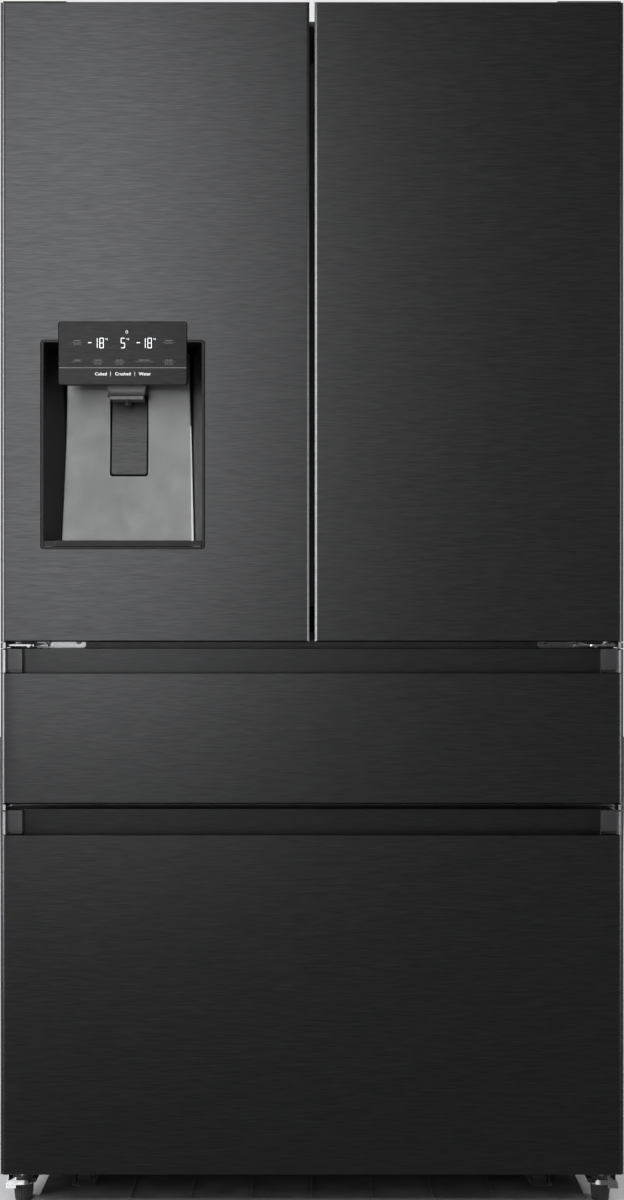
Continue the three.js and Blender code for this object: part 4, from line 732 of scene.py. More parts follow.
# ---------------------------------------------------------------- hinges
# The middle hinges are pressed from zinc-plated plate: a flange screwed to the cross rail, an arm
# under the door with its pin, a shoulder and a stop tab. The top hinges lie under moulded covers.
pin_x, pin_y = 0.4340, -0.3365
flange_z = (0.8243, 0.8470)
arm_z = (0.82875, 0.83175)
for side, word in hands:
    node = "middle_hinge_" + word
    low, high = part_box(node)
    outer = max(abs(low.x), abs(high.x))
    flange = cuboid(node + "_plate", (side * 0.3405, side * 0.4150), (high.y - 0.003, high.y), flange_z)
    round_corners(flange, lambda c, d: abs(d.y) > 0.9 and abs(c.x) < 0.36 and c.z < 0.83, 0.0050, 6)
    round_corners(flange, lambda c, d: abs(d.y) > 0.9 and abs(c.x) < 0.36 and c.z > 0.84, 0.0090, 6)
    step = cuboid(node + "_step", (side * 0.3960, side * 0.4190), (high.y - 0.016, high.y - 0.002),
                  (0.8268, 0.8300))
    arm = cuboid(node + "_arm", (side * 0.4080, side * outer), (low.y, high.y - 0.001), arm_z)
    nose = lambda c, d: abs(d.z) > 0.9 and c.y < low.y + 0.002
    round_corners(arm, lambda c, d: nose(c, d) and abs(c.x) < 0.42, 0.0050, 5)
    round_corners(arm, lambda c, d: nose(c, d) and abs(c.x) > 0.44, 0.0060, 5)
    tab = cuboid(node + "_tab", (side * 0.4148, side * 0.4188), (low.y + 0.0004, low.y + 0.0030),
                 (0.8266, 0.8295))
    gusset = cuboid(node + "_gusset", (side * 0.4470, side * outer), (low.y + 0.020, high.y),
                    (0.8215, 0.8295))
    move(gusset, lambda c, n: c.y < low.y + 0.021 and c.z < 0.822, (0, 0.020, 0.004))
    pin = rod(node + "_pin", 0.0040, (0.8298, 0.8470), "z", (side * pin_x, pin_y), 24)
    inset(pin, upper_face, 0.0012, 0.0006)
    collar = rod(node + "_collar", 0.0075, (0.8316, 0.8330), "z", (side * pin_x, pin_y), 28)
    inset(collar, upper_face, 0.0012, 0.0004)
    hinge = weld(node + "_pressing", [flange, step, arm, tab, gusset, pin, collar])
    fit(hinge, "cabinet", zinc, "zinc", [node], rounding=0.0004)
    heads = [(side * x, high.y - 0.003, 0.8345) for x in (0.3968, 0.3512)]
    screws(node + "_screws", heads, "-y", "cabinet", zinc, radius=0.0044, height=0.0018)

    node = "top_hinge_" + word
    pressing = rework(node, node + "_pressing")
    move(pressing, lambda c, n: c.y < -0.345 and c.z > 1.7765, (0, 0.0080, 0))
    fit(pressing, "cabinet", zinc, "zinc", [node], rounding=0.0008)
    node = "hinge_cover_" + word
    lid = rework(node, node + "_lid")
    move(lid, lambda c, n: c.y < -0.340 and c.z > 1.780, (0, 0.0360, 0))
    fit(lid, "cabinet", dark_plastic, "dark_plastic", [node], rounding=0.0018, steps=3)

# ---------------------------------------------------------------- door and drawer edges
# Each front has a slim painted trim down its outer side. It stands a little proud of a fine
# shadow groove, in which the folded steel front sits.
skin_low, skin_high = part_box("left_door_skin")
face = skin_low.y
front_back = skin_high.y
half_width = -skin_low.x
trim_width = 0.0019
groove_width = 0.0011
steel_side = half_width - trim_width - groove_width
groove_depth = 0.0062
trim_setback = 0.0040
fronts = {
    "left_door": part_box("left_door_skin"),
    "right_door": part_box("right_door_skin"),
    "middle_drawer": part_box("middle_front"),
    "freezer_drawer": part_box("freezer_front"),
}


def trim_strip(c, n):
    """The front face of the trim, outside the groove."""
    return n.y < -0.5 and abs(c.x) > half_width - trim_width


def edge_trim(name, side, z, body):
    trim = cuboid(name, (side * steel_side, side * half_width), (face + groove_depth, front_back), z)
    split(trim, "x", side * (half_width - trim_width))
    push(trim, trim_strip, (0, trim_setback - groove_depth, 0))
    fit(trim, body, grey_paint, "grey_paint", rounding=0.0004)


for body, (low, high) in fronts.items():
    for side, word in hands:
        if body not in ("left_door", "right_door") or body.startswith(word):
            edge_trim(body + "_trim_" + word, side, (low.z, high.z), body)

# ---------------------------------------------------------------- steel door fronts
# The doors are faced with black steel, brushed level and lacquered. The sheet is folded back all
# round with drawn-in, mitred edges: wide on the outer side, narrower at the middle and the ends.


def stretched_noise(group, along, across, scale, detail):
    """Noise on the piece's own coordinates, drawn out along X and Y and close together in Z."""
    place = group.nodes.new("ShaderNodeTexCoord")
    pitch = group.nodes.new("ShaderNodeCombineXYZ")
    for axis, value in zip("XYZ", (along, along, across)):
        group.links.new(value, pitch.inputs[axis])
    scaled = group.nodes.new("ShaderNodeVectorMath")
    scaled.operation = "MULTIPLY"
    group.links.new(place.outputs["Object"], scaled.inputs[0])
    group.links.new(pitch.outputs["Vector"], scaled.inputs[1])
    noise = group.nodes.new("ShaderNodeTexNoise")
    noise.inputs["Scale"].default_value = scale
    noise.inputs["Detail"].default_value = detail
    group.links.new(scaled.outputs["Vector"], noise.inputs["Vector"])
    return noise.outputs["Fac"]


brushing, inlet, outlet = shared_effect("brushing", {"Along": 40, "Across": 700},
                                        ["Streaks", "Hairlines"])
along, across = inlet.outputs["Along"], inlet.outputs["Across"]
streaks = stretched_noise(brushing, along, across, 1, 2)
hairlines = stretched_noise(brushing, along, product(brushing, across, 3.1), 0.7, 1)
brushing.links.new(spread(brushing, streaks, 0.3, 0.7), outlet.inputs["Streaks"])
brushing.links.new(spread(brushing, hairlines, 0.3, 0.7), outlet.inputs["Hairlines"])

fold_depth = 0.0029
side_fold = 0.0050
meeting_fold = 0.0036
end_fold = 0.0018
sheet = 0.0012

black_steel = new_finish("black_steel", metallic=1.0)
strokes = effect(black_steel, brushing, along=38, across=760)
tint(black_steel, strokes["Streaks"], (0.068, 0.069, 0.071), (0.092, 0.093, 0.095))
gloss(black_steel, strokes["Hairlines"], 0.32, 0.39)
relief(black_steel, strokes["Hairlines"], 0.00003, 0.35)


def folded_front(name, x, z, folds):
    """A solid blank with mitred, drawn-in front edges; folds are left, right, bottom and top."""
    blank = cuboid(name, x, (face + fold_depth, front_back), z)
    push(blank, lambda c, n: n.y < -0.5, (0, -fold_depth, 0))
    left, right, bottom, top = folds
    move(blank, lambda c, n: near(c.y, face) and near(c.x, x[0]), (left, 0, 0))
    move(blank, lambda c, n: near(c.y, face) and near(c.x, x[1]), (-right, 0, 0))
    move(blank, lambda c, n: near(c.y, face) and near(c.z, z[0]), (0, 0, bottom))
    move(blank, lambda c, n: near(c.y, face) and near(c.z, z[1]), (0, 0, -top))
    return blank


def open_back(piece):
    """Leaves the folded sheet only, open towards the cabinet."""
    pick(piece, lambda c, n: n.y > 0.9 and c.y > front_back - 0.0001)
    bpy.ops.mesh.delete(type="FACE")
    apply(piece, "SOLIDIFY", thickness=sheet, offset=-1, use_even_offset=True)


def slot_cutter(name, x, y, z, radius):
    """A block with rounded corners seen from the front, to cut an opening in a front."""
    tool = cuboid(name, x, y, z)
    round_corners(tool, depth_edge, radius, 6)
    return tool


low, high = fronts["right_door"]
steel = folded_front("right_door_steel", (low.x, steel_side), (low.z, high.z),
                     (meeting_fold, side_fold, end_fold, end_fold))
open_back(steel)
fit(steel, "right_door", black_steel, "black_steel", ["right_door_skin"], rounding=0.0005)

panel_low, panel_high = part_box("control_panel")
seam = 0.0004
low, high = fronts["left_door"]
steel = folded_front("left_door_steel", (-steel_side, high.x), (low.z, high.z),
                     (side_fold, meeting_fold, end_fold, end_fold))
open_back(steel)
through = (face - 0.01, face + 0.02)
niche_tool = slot_cutter("niche_tool", (-0.3970, -0.1564), through, (0.9711, 1.2771), 0.0050)
panel_hole_x = (panel_low.x - seam, panel_high.x + seam)
panel_hole_z = (panel_low.z - seam, panel_high.z + seam)
panel_tool = slot_cutter("panel_tool", panel_hole_x, through, panel_hole_z, 0.0038)
cut(steel, niche_tool, panel_tool)
fit(steel, "left_door", black_steel, "black_steel", ["left_door_skin"], rounding=0.0005)

# On the cabinet, short wings carry the trims and the folded edges on across the gaps between the
# fronts, so that the line down each side is unbroken.
wing_clear = 0.0010
wing_lip = 0.0090
gaps = {
    "upper": (fronts["middle_drawer"][1].z + wing_clear, fronts["left_door"][0].z - wing_clear),
    "lower": (fronts["freezer_drawer"][1].z + wing_clear, fronts["middle_drawer"][0].z - wing_clear),
}
for word, z in gaps.items():
    for side, hand in hands:
        end = word + "_" + hand
        wing = cuboid("gap_wing_" + end, (side * steel_side, side * half_width),
                      (face + groove_depth, wrap_low.y), z)
        split(wing, "x", side * (half_width - trim_width))
        push(wing, trim_strip, (0, trim_setback - groove_depth, 0))
        fit(wing, "cabinet", grey_paint, "grey_paint", rounding=0.0004)
        fold_in = side * (steel_side - side_fold)
        fold = cuboid("gap_fold_" + end, (side * steel_side, fold_in),
                      (face + fold_depth, face + wing_lip), z)
        move(fold, lambda c, n: near(c.x, fold_in) and near(c.y, face + fold_depth), (0, -fold_depth, 0))
        fit(fold, "cabinet", black_steel, "black_steel", rounding=0.0003)

# ---------------------------------------------------------------- drawer fronts
# The drawer fronts are the same steel. The sheet is folded over into a lip along the top, down
# into a groove for the fingertips and up again as the back wall of a channel.
drawers = (("middle", "middle_drawer"), ("freezer", "freezer_drawer"))

channel_height = 0.035
channel_depth = 0.025
groove_drop = 0.022
cap_inner = 0.4257
wall_lean = 0.0028


def drawer_front(name, body, node, z):
    lip = z[1] - channel_height
    rear = face + channel_depth
    piece = cuboid(name, (-steel_side, steel_side), (face + fold_depth, front_back), (z[0], lip))
    for x in (-cap_inner, cap_inner):
        split(piece, "x", x)
    split(piece, "y", rear)
    push(piece, lambda c, n: n.z > 0.9 and c.y < rear and abs(c.x) < cap_inner, (0, 0, -groove_drop))
    push(piece, lambda c, n: n.z > 0.9 and c.y > rear, (0, 0, channel_height))
    move(piece, lambda c, n: near(c.y, rear) and near(c.z, z[1]), (0, -wall_lean, 0))
    move(piece, lambda c, n: near(c.y, rear) and near(c.z, lip), (0, -0.4 * wall_lean, 0))
    push(piece, lambda c, n: n.y < -0.9 and near(c.y, face + fold_depth) and c.z < lip,
         (0, -fold_depth, 0))
    move(piece, lambda c, n: near(c.y, face) and near(c.x, -steel_side), (side_fold, 0, 0))
    move(piece, lambda c, n: near(c.y, face) and near(c.x, steel_side), (-side_fold, 0, 0))
    move(piece, lambda c, n: near(c.y, face) and near(c.z, z[0]), (0, 0, end_fold))
    move(piece, lambda c, n: near(c.y, face) and near(c.z, lip), (0, 0, -0.0008))
    open_back(piece)
    fit(piece, body, black_steel, "black_steel", [node], rounding=0.0004)


for name, body in drawers:
    low, high = fronts[body]
    drawer_front(name + "_steel", body, name + "_front", (low.z, high.z))

# ---------------------------------------------------------------- channel end caps
# A moulded cap closes each end of the channels. It is clipped in behind the lip, its face lies
# back in the channel with a small ledge at the foot, and its outer rib carries on the front's edge.
cap_setback = 0.010
rib_width = side_fold
ledge = 0.0042

cap_plastic = moulded("cap_plastic", (0.105, 0.106, 0.109), (0.115, 0.116, 0.119), 0.34, 1300, 0.00012,
                      metallic=0.6)


def end_cap(name, side, body, node, z):
    lip = z[1] - channel_height
    rear = face + channel_depth
    inner, outer = side * cap_inner, side * steel_side
    rib = steel_side - rib_width
    cap = cuboid(name, (inner, outer), (face + cap_setback, rear), (lip + 0.0004, z[1]))
    split(cap, "x", side * rib)
    split(cap, "z", lip + ledge)
    foot = lambda c, n: n.y < -0.9 and c.z < lip + ledge and abs(c.x) < rib
    inset(cap, foot, 0.0006)
    push(cap, lambda c, n: foot(c, n) and abs(c.x) < rib - 0.002, (0, 0.005, 0))
    on_rib = lambda c, n: n.y < -0.9 and abs(c.x) > rib and near(c.y, face + cap_setback)
    push(cap, on_rib, (0, fold_depth - cap_setback, 0))
    push(cap, lambda c, n: n.y < -0.9 and near(c.y, face + fold_depth), (0, -fold_depth, 0))
    move(cap, lambda c, n: near(c.y, face) and near(c.x, outer), (-side * (rib_width - 0.0006), 0, 0))
    move(cap, lambda c, n: near(c.y, face) and near(c.z, z[1]), (0, 0, -end_fold))
    fit(cap, body, cap_plastic, "dark_plastic", [node], rounding=0.0003)


for name, body in drawers:
    low, high = fronts[body]
    for side, word in hands:
        end_cap(name + "_end_cap_" + word, side, body, name + "_cap_" + word, (low.z, high.z))

# ---------------------------------------------------------------- dispenser niche
# The niche is a moulding set into the left door behind a slim bezel: black at the sides, with a
# separate back plate that leans away upwards, finished in satin metallic paint with rolled edges.
# A bright strip down the plate's right side is a painted highlight.
niche_black = moulded("niche_black", (0.010, 0.010, 0.011), (0.013, 0.013, 0.014), 0.32, 1500, 0.00008,
                      specular_ior_level=0.3)
finish_node("dispenser_housing", "niche_housing", "left_door", niche_black, "niche_metal",
            rounding=0.0008)

niche_x = (-0.3936, -0.1608)
niche_z = (0.9745, 1.2737)
niche_middle = sum(niche_x) / 2
back_low, back_high = face + 0.070, face + 0.103
half_low, half_high = 0.1004, 0.0919
lean = (back_high - back_low) / (niche_z[1] - niche_z[0])


def back_at(z):
    return back_low + (z - niche_z[0]) * lean


chute_grey = moulded("chute_grey", (0.16, 0.161, 0.164), (0.19, 0.191, 0.194), 0.34, 1400, 0.00006,
                     metallic=0.5)
satin_metal = new_finish("satin_metal", metallic=0.85)
surface = effect(satin_metal, grain, pitch=1500)
tint(satin_metal, surface["Grain"], (0.28, 0.282, 0.285), (0.35, 0.352, 0.355))
gloss(satin_metal, surface["Clouds"], 0.42, 0.50)
relief(satin_metal, surface["Grain"], 0.00006)

plate_z = (0.9845, 1.2700)
bend_start, bend_end, bend_rate = 1.108, 1.215, 1.2


def bend(z):
    """How far the plate comes forward, above the height where its cove begins."""
    return bend_rate * max(0.0, min(z, bend_end) - bend_start) ** 2


def cove(piece, levels):
    for z in levels:
        split(piece, "z", z)
    for z in (*levels, plate_z[1]):
        move(piece, lambda c, n: near(c.z, z), (0, -bend(z), 0))


plate = cuboid("niche_back_plate", (niche_middle - half_low, niche_middle + half_low),
               (back_low - 0.0025, back_low), plate_z)
for z in plate_z:
    share = (z - niche_z[0]) / (niche_z[1] - niche_z[0])
    half = half_low + (half_high - half_low) * share
    for side in (-1, 1):
        here = lambda c, n: near(c.z, z) and (c.x - niche_middle) * side > 0
        move(plate, here, (side * (half - half_low), back_at(z) - back_low, 0))
cove(plate, [bend_start + 0.0107 * step for step in range(11)])


def front_edge(c, d):
    in_front = c.y < back_at(c.z) - bend(c.z) - 0.001
    return abs(d.z) > 0.9 and in_front and abs(c.x - niche_middle) > half_high - 0.001


round_corners(plate, front_edge, 0.0022, 4)
pocket_x = (niche_middle - 0.0280, niche_middle + 0.0297)
pocket_z = (1.0835, 1.2105)
cut(plate, slot_cutter("pocket_tool", pocket_x, (face + 0.05, face + 0.12), pocket_z, 0.0045))
fit(plate, "left_door", satin_metal, "niche_metal", rounding=0.0006)

# The bright strip down the right side of the back plate is a painted highlight. It is a brighter copy of
# the plate's satin metal that stands for light caught on the plate's rounded edge, and it ends below the
# cove, where the plate lies in shade.
painted_highlight_metal = new_finish("painted_highlight_metal", metallic=1.0)
surface = effect(painted_highlight_metal, grain, pitch=1500)
tint(painted_highlight_metal, surface["Grain"], (0.62, 0.622, 0.625), (0.70, 0.702, 0.705))
gloss(painted_highlight_metal, surface["Clouds"], 0.42, 0.50)
bead_x = niche_middle + half_low - 0.0042
bead_top = 1.1600
highlight_strip = cuboid("niche_plate_painted_highlight", (bead_x, bead_x + 0.0036), (back_low - 0.0034, back_low - 0.0022),
              (plate_z[0] + 0.0004, bead_top))
bead_rise = (bead_top - niche_z[0]) / (niche_z[1] - niche_z[0])
bead_end = lambda c, n: c.z > bead_top - 0.001
move(highlight_strip, bead_end, ((half_high - half_low) * bead_rise, (back_high - back_low) * bead_rise, 0))
move(highlight_strip, lambda c, n: bead_end(c, n) and c.x < bead_x - 0.002, (0.0020, 0, 0))
bead_levels = (1.119, 1.130, 1.141, 1.151)
for z in bead_levels:
    split(highlight_strip, "z", z)
for z in (*bead_levels, bead_top):
    move(highlight_strip, lambda c, n: near(c.z, z), (0, -bend(z), 0))
fit(highlight_strip, "left_door", painted_highlight_metal, "niche_metal", rounding=0.0004)

sill = cuboid("niche_sill", (niche_x[0] + 0.0006, niche_x[1] - 0.0006), (face + 0.0012, face + 0.0040),
              (0.9747, 0.9836))
move(sill, lambda c, n: c.z > 0.98, (0, 0.0012, 0))
for side in (-1, 1):
    split(sill, "x", niche_middle + side * 0.1000)
inset(sill, lambda c, n: n.y < -0.5 and abs(c.x - niche_middle) < 0.09, 0.0012, -0.0006)
fit(sill, "left_door", niche_black, "dark_plastic", rounding=0.0005)
for side, word in hands:
    inner = niche_middle + side * 0.1030
    corner = cuboid("niche_corner_" + word, (inner, inner + side * 0.0110),
                    (face + 0.0006, face + 0.0110), (0.9748, 0.9822))
    move(corner, lambda c, n: c.z > 0.98, (0, 0.0050, 0))
    move(corner, lambda c, n: c.z > 0.98 and (c.x - inner) * side < 0.001, (side * 0.0040, 0, 0))
    fit(corner, "left_door", chute_grey, "dark_plastic", rounding=0.0006)

# ---------------------------------------------------------------- drip tray
# The tray lies loose in the niche floor. It is a black moulding with a slotted grating.
finish_node("drip_tray", "tray_grating", "left_door", niche_black, "dark_plastic", rounding=0.0008)

# ---------------------------------------------------------------- ice chute
# Ice and water come down a tapered grey chute behind the touch panel. It has a rolled lip at the
# foot, ribs down its corners and a water nozzle beside it.


def spans(low, high):
    """The two ends of a box on each axis."""
    return tuple(zip(low, high))


spout_low, spout_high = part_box("ice_spout")
spout = cuboid("ice_chute", *spans(spout_low, spout_high))
shoulder_z = 1.2130
split(spout, "z", shoulder_z)
for side in (-1, 1):
    move(spout, lambda c, n: c.z < 1.2 and (c.x - niche_middle) * side > 0, (-side * 0.0038, 0, 0))
foot_band = 0.0050
split(spout, "z", spout_low.z + foot_band)
push(spout, lambda c, n: abs(n.z) < 0.5 and c.z < spout_low.z + foot_band, (0, 0, 0))
foot_centre = (niche_middle, (spout_low.y + spout_high.y) / 2, spout_low.z)
bpy.ops.transform.resize(value=(0.985, 0.975, 1), center_override=foot_centre)
chute_face = lambda c, n: n.y < -0.9 and spout_low.z + foot_band < c.z < shoulder_z
inset(spout, chute_face, 0.0040, -0.0010)
inset(spout, under_face, 0.0030)
chute_mouth = lambda c, n: n.z < -0.9 and near(c.z, spout_low.z) and near(c.x, niche_middle)
push(spout, chute_mouth, (0, 0, 0.030))
fit(spout, "left_door", chute_grey, "dark_plastic", ["ice_spout"], rounding=0.0007)

nozzle = rod("water_nozzle", 0.0045, (1.190, 1.215), "z", (niche_middle, spout_low.y + 0.030), 24)
inset(nozzle, under_face, 0.0015)
bore = lambda c, n: n.z < -0.9 and near(c.z, 1.190) and abs(c.x - niche_middle) < 0.002
push(nozzle, bore, (0, 0, 0.006))
fit(nozzle, "left_door", chute_grey, "dark_plastic", rounding=0.0004)

# ---------------------------------------------------------------- dispenser paddle
# A brushed steel-faced lever hangs from an axle in its pocket behind the chute.
pocket_lining = cuboid("paddle_pocket", (pocket_x[0] - 0.001, pocket_x[1] + 0.001),
                       (face + 0.1056, face + 0.1070), pocket_z)
inset(pocket_lining, frontal, 0.004, 0.0)
push(pocket_lining, lambda c, n: n.y < -0.9 and abs(c.x - niche_middle) < 0.001, (0, 0.0008, 0))
fit(pocket_lining, "left_door", niche_black, "niche_metal", rounding=0.0005)

dark_brushed = new_finish("dark_brushed", metallic=0.9)
strokes = effect(dark_brushed, brushing, along=60, across=1100)
tint(dark_brushed, strokes["Streaks"], (0.062, 0.063, 0.064), (0.095, 0.096, 0.098))
gloss(dark_brushed, strokes["Hairlines"], 0.34, 0.44)
relief(dark_brushed, strokes["Hairlines"], 0.00003, 0.35)
paddle_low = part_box("dispenser_paddle")[0]
lever = rework("dispenser_paddle", "paddle_lever")
round_corners(lever, lambda c, d: abs(d.y) > 0.9 and c.z < paddle_low.z + 0.004, 0.0040, 5)
fit(lever, "dispenser_paddle", dark_brushed, "niche_metal", ["dispenser_paddle"], rounding=0.0008)

# ---------------------------------------------------------------- touch panel
# The touch panel is smoked glass with a brushed film behind it. Its marks are printed and lit
# from behind: three temperatures, key labels, a fine line and the names of the three outlets.
panel_glass = new_finish("panel_glass", metallic=1.0)
strokes = effect(panel_glass, brushing, along=50, across=900)
tint(panel_glass, strokes["Streaks"], (0.022, 0.022, 0.0225), (0.036, 0.036, 0.037))
gloss(panel_glass, strokes["Hairlines"], 0.30, 0.38)
glass = cuboid("touch_panel", (panel_low.x, panel_high.x), (panel_low.y + 0.00025, panel_high.y),
               (panel_low.z, panel_high.z))
round_corners(glass, depth_edge, 0.0035, 6)
fit(glass, "left_door", panel_glass, "panel_glass", ["control_panel"], rounding=0.0006)

lit_white = new_finish("lit_white", base_color=(0.8, 0.8, 0.8, 1), roughness=0.5, emission_strength=0.75)
glow = effect(lit_white, grain, pitch=600)
tint(lit_white, glow["Clouds"], (0.80, 0.83, 0.86), (0.92, 0.94, 0.96), "Emission Color")
print_grey = moulded("print_grey", (0.20, 0.20, 0.205), (0.24, 0.24, 0.245), 0.5, 900, 0.00001)
mark_front = panel_low.y + 0.00005
mark_back = panel_low.y + 0.0006


def stroke_bar(name, x, z, width, height):
    """One printed stroke, its corners cut back a little."""
    bar = cuboid(name, (x - width / 2, x + width / 2), (mark_front, mark_back),
                 (z - height / 2, z + height / 2))
    round_corners(bar, depth_edge, min(width, height) * 0.3, 1)
    return bar


digit_bars = {"-": "g", "1": "bc", "5": "afgcd", "8": "abcdefg"}


def digit(name, figure, x, z, width, height):
    """A seven-bar figure, each bar bevelled where it meets the next."""
    thick = 0.0010
    gap = 0.0004
    bars = []
    for key in digit_bars[figure]:
        flat = key in "agd"
        if flat:
            size = (width - 2 * gap, thick)
            place = (x, z + {"a": 0.5, "g": 0.0, "d": -0.5}[key] * (height - thick))
        else:
            size = (thick, height / 2 - 2 * gap)
            across = 0.5 if key in "bc" else -0.5
            rise = 0.25 if key in "bf" else -0.25
            place = (x + across * (width - thick), z + rise * (height - thick / 2))
        bars.append(stroke_bar(name, *place, *size))
    return weld(name, bars)


reading_z = 1.2724
figure_height = 0.0152
figure_width = 0.0062
readings = (
    (-0.3247, (("1", -0.3165), ("8", -0.3075))),
    (None, (("5", -0.2764),)),
    (-0.2539, (("1", -0.2463), ("8", -0.2373))),
)
shown = []
for dash_x, figures in readings:
    if dash_x:
        shown.append(stroke_bar("reading", dash_x, reading_z + 0.0005, 0.0052, 0.0011))
    for figure, x in figures:
        shown.append(digit("reading", figure, x, reading_z, figure_width, figure_height))
    degree_x, degree_z = x + 0.0058, reading_z + 0.0060
    degree = rod("reading", 0.0008, (mark_front, mark_back), "y", (degree_x, degree_z), 12)
    inset(degree, frontal, 0.0003, -0.0002)
    shown.append(degree)
    shown.append(stroke_bar("reading", degree_x + 0.0018, degree_z - 0.0004, 0.0005, 0.0024))
    shown.append(stroke_bar("reading", degree_x + 0.0027, degree_z + 0.0006, 0.0014, 0.0005))
    shown.append(stroke_bar("reading", degree_x + 0.0027, degree_z - 0.0014, 0.0014, 0.0005))
lock_sign = (
    (0, 0.0016, 0.0030, 0.0005),
    (-0.0014, 0, 0.0005, 0.0030),
    (0.0014, 0, 0.0005, 0.0030),
    (0, -0.0016, 0.0022, 0.0005),
    (0, 0.0026, 0.0012, 0.0005),
)
for x, z, width, height in lock_sign:
    shown.append(stroke_bar("reading", -0.2707 + x, 1.2882 + z, width, height))
fit(weld("readings", shown), "left_door", lit_white, "panel_glass", rounding=0)

word_z = 1.2271
word_size = 0.0066
printed = []
for word, x in (("Cubed", -0.3085), ("Crushed", -0.2763), ("Water", -0.2443)):
    bpy.ops.object.select_all(action="DESELECT")
    bpy.ops.object.text_add(location=(x, mark_front + 0.0001, word_z), rotation=(math.pi / 2, 0, 0))
    label = bpy.context.object
    label.data.body = word
    label.data.size = word_size
    label.data.align_x = "CENTER"
    label.data.align_y = "CENTER"
    label.data.extrude = 0.0001
    bpy.ops.object.convert(target="MESH")
    bpy.ops.object.transform_apply()
    printed.append(label)
for x in (-0.2945, -0.2591):
    printed.append(stroke_bar("outlet_rule", x, word_z, 0.0004, 0.0064))
fit(weld("outlet_names", printed), "left_door", lit_white, "panel_glass", rounding=0)

# Each touch key has a short name, a rule under it and one or two smaller lines below the rule.
key_rows = (
    (1.2735, ((-0.3433, 0.0165, 2), (-0.2094, 0.0180, 1))),
    (1.2450, (
        (-0.3433, 0.0170, 0),
        (-0.3130, 0.0174, 2),
        (-0.2815, 0.0174, 2),
        (-0.2451, 0.0260, 0),
        (-0.2094, 0.0185, 2),
    )),
)
keys = []
for row_z, row in key_rows:
    for x, width, lines in row:
        keys.append(stroke_bar("key_mark", x, row_z, width, 0.0003))
        for letter in range(5):
            place = x + (letter - 2) * width * 0.13
            height = 0.0011 + 0.0005 * (letter % 2)
            keys.append(stroke_bar("key_mark", place, row_z + 0.0024, width * 0.09, height))
        for line in range(lines):
            for dash in range(4):
                place = x + (dash - 1.5) * width * 0.17
                line_z = row_z - 0.0018 * (line + 1)
                keys.append(stroke_bar("key_mark", place, line_z, width * 0.12, 0.0006))
fit(weld("key_marks", keys), "left_door", print_grey, "panel_glass", rounding=0)

line = stroke_bar("panel_line", (panel_low.x + panel_high.x) / 2, 1.2362,
                  panel_high.x - panel_low.x - 0.001, 0.0007)
line_grey = moulded("line_grey", (0.30, 0.30, 0.305), (0.34, 0.34, 0.345), 0.5, 900, 0.00001)
fit(line, "left_door", line_grey, "panel_glass", rounding=0)

# ---------------------------------------------------------------- door liners
# The inner side of a door is a white vacuum-formed liner over foam. A raised dike runs round it and
# carries the bins; on the left door a hump clears the back of the dispenser.
liner_clear = 0.0050
liner_draw = 0.0034


def inside_front(node, name, body):
    """An inner moulding, kept clear of the folded edges of the steel in front of it."""
    piece = rework(node, name)
    move(piece, lambda c, n: c.y < face + 0.002, (0, liner_clear, 0))
    for side in (-1, 1):
        move(piece, lambda c, n: c.x * side > steel_side - 0.001, (-side * liner_draw, 0, 0))
    fit(piece, body, white_plastic, "white_plastic", [node], rounding=0.0016, steps=3)


for body in ("left_door", "right_door"):
    inside_front(body + "_liner", body + "_inner_moulding", body)

# ---------------------------------------------------------------- gaskets
# Soft magnetic gaskets close every front. Each is a folded bellows with a flat magnet strip that
# lies against the cabinet's front edge.
for word, body in (("left_door",) * 2, ("right_door",) * 2, *drawers):
    low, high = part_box(word + "_gasket")
    seal = rework(word + "_gasket", word + "_bellows")
    for share in (0.25, 0.5, 0.75):
        split(seal, "y", low.y + (high.y - low.y) * share)
    for share in (0.25, 0.75):
        pick(seal, lambda c, n: near(c.y, low.y + (high.y - low.y) * share), "VERT")
        bpy.ops.transform.shrink_fatten(value=-0.0016)
    inset(seal, rearward, 0.0030, -0.0006)
    fit(seal, body, rubber, "rubber", [word + "_gasket"], rounding=0.0005)

# ---------------------------------------------------------------- door bins
# Clear bins hang between the walls of the dike. Each has a white guard rail along its inner edge.


def door_bin(name, body, x, y, z, replaces):
    tub = cuboid(name, x, y, z)
    draw = 0.006
    for side in (-1, 1):
        middle = (x[0] + x[1]) / 2
        move(tub, lambda c, n: near(c.z, z[0]) and (c.x - middle) * side > 0, (-side * draw, 0, 0))
    move(tub, lambda c, n: near(c.z, z[0]) and near(c.y, y[1]), (0, -draw, 0))
    round_corners(tub, lambda c, d: abs(d.z) > 0.8 and c.y > y[1] - 0.01, 0.018, 6)
    inset(tub, upper_face, 0.0028)
    hollow = lambda c, n: n.z > 0.9 and near(c.z, z[1]) and near(c.y, (y[0] + y[1]) / 2)
    push(tub, hollow, (0, 0, z[0] + 0.003 - z[1]))
    fit(tub, body, clear_plastic, "clear_plastic", replaces, rounding=0.0010)
    rail = cuboid(name + "_rail", (x[0] + 0.022, x[1] - 0.022), (y[1] - 0.0062, y[1] - 0.0030),
                  (z[1] - 0.022, z[1] - 0.002))
    inset(rail, rearward, 0.003, -0.0006)
    split(rail, "y", y[1] - 0.0045)
    fit(rail, body, white_plastic, "white_plastic", rounding=0.0008)


for node in ("right_bin_lower", "right_bin_upper"):
    low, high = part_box(node)
    door_bin(node + "_tub", "right_door", *spans(low, high), [node])
low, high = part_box("right_bin_lower")
door_bin("left_bin_tub", "left_door", (-high.x, -low.x), (low.y, high.y), (low.z, 0.9590), ())
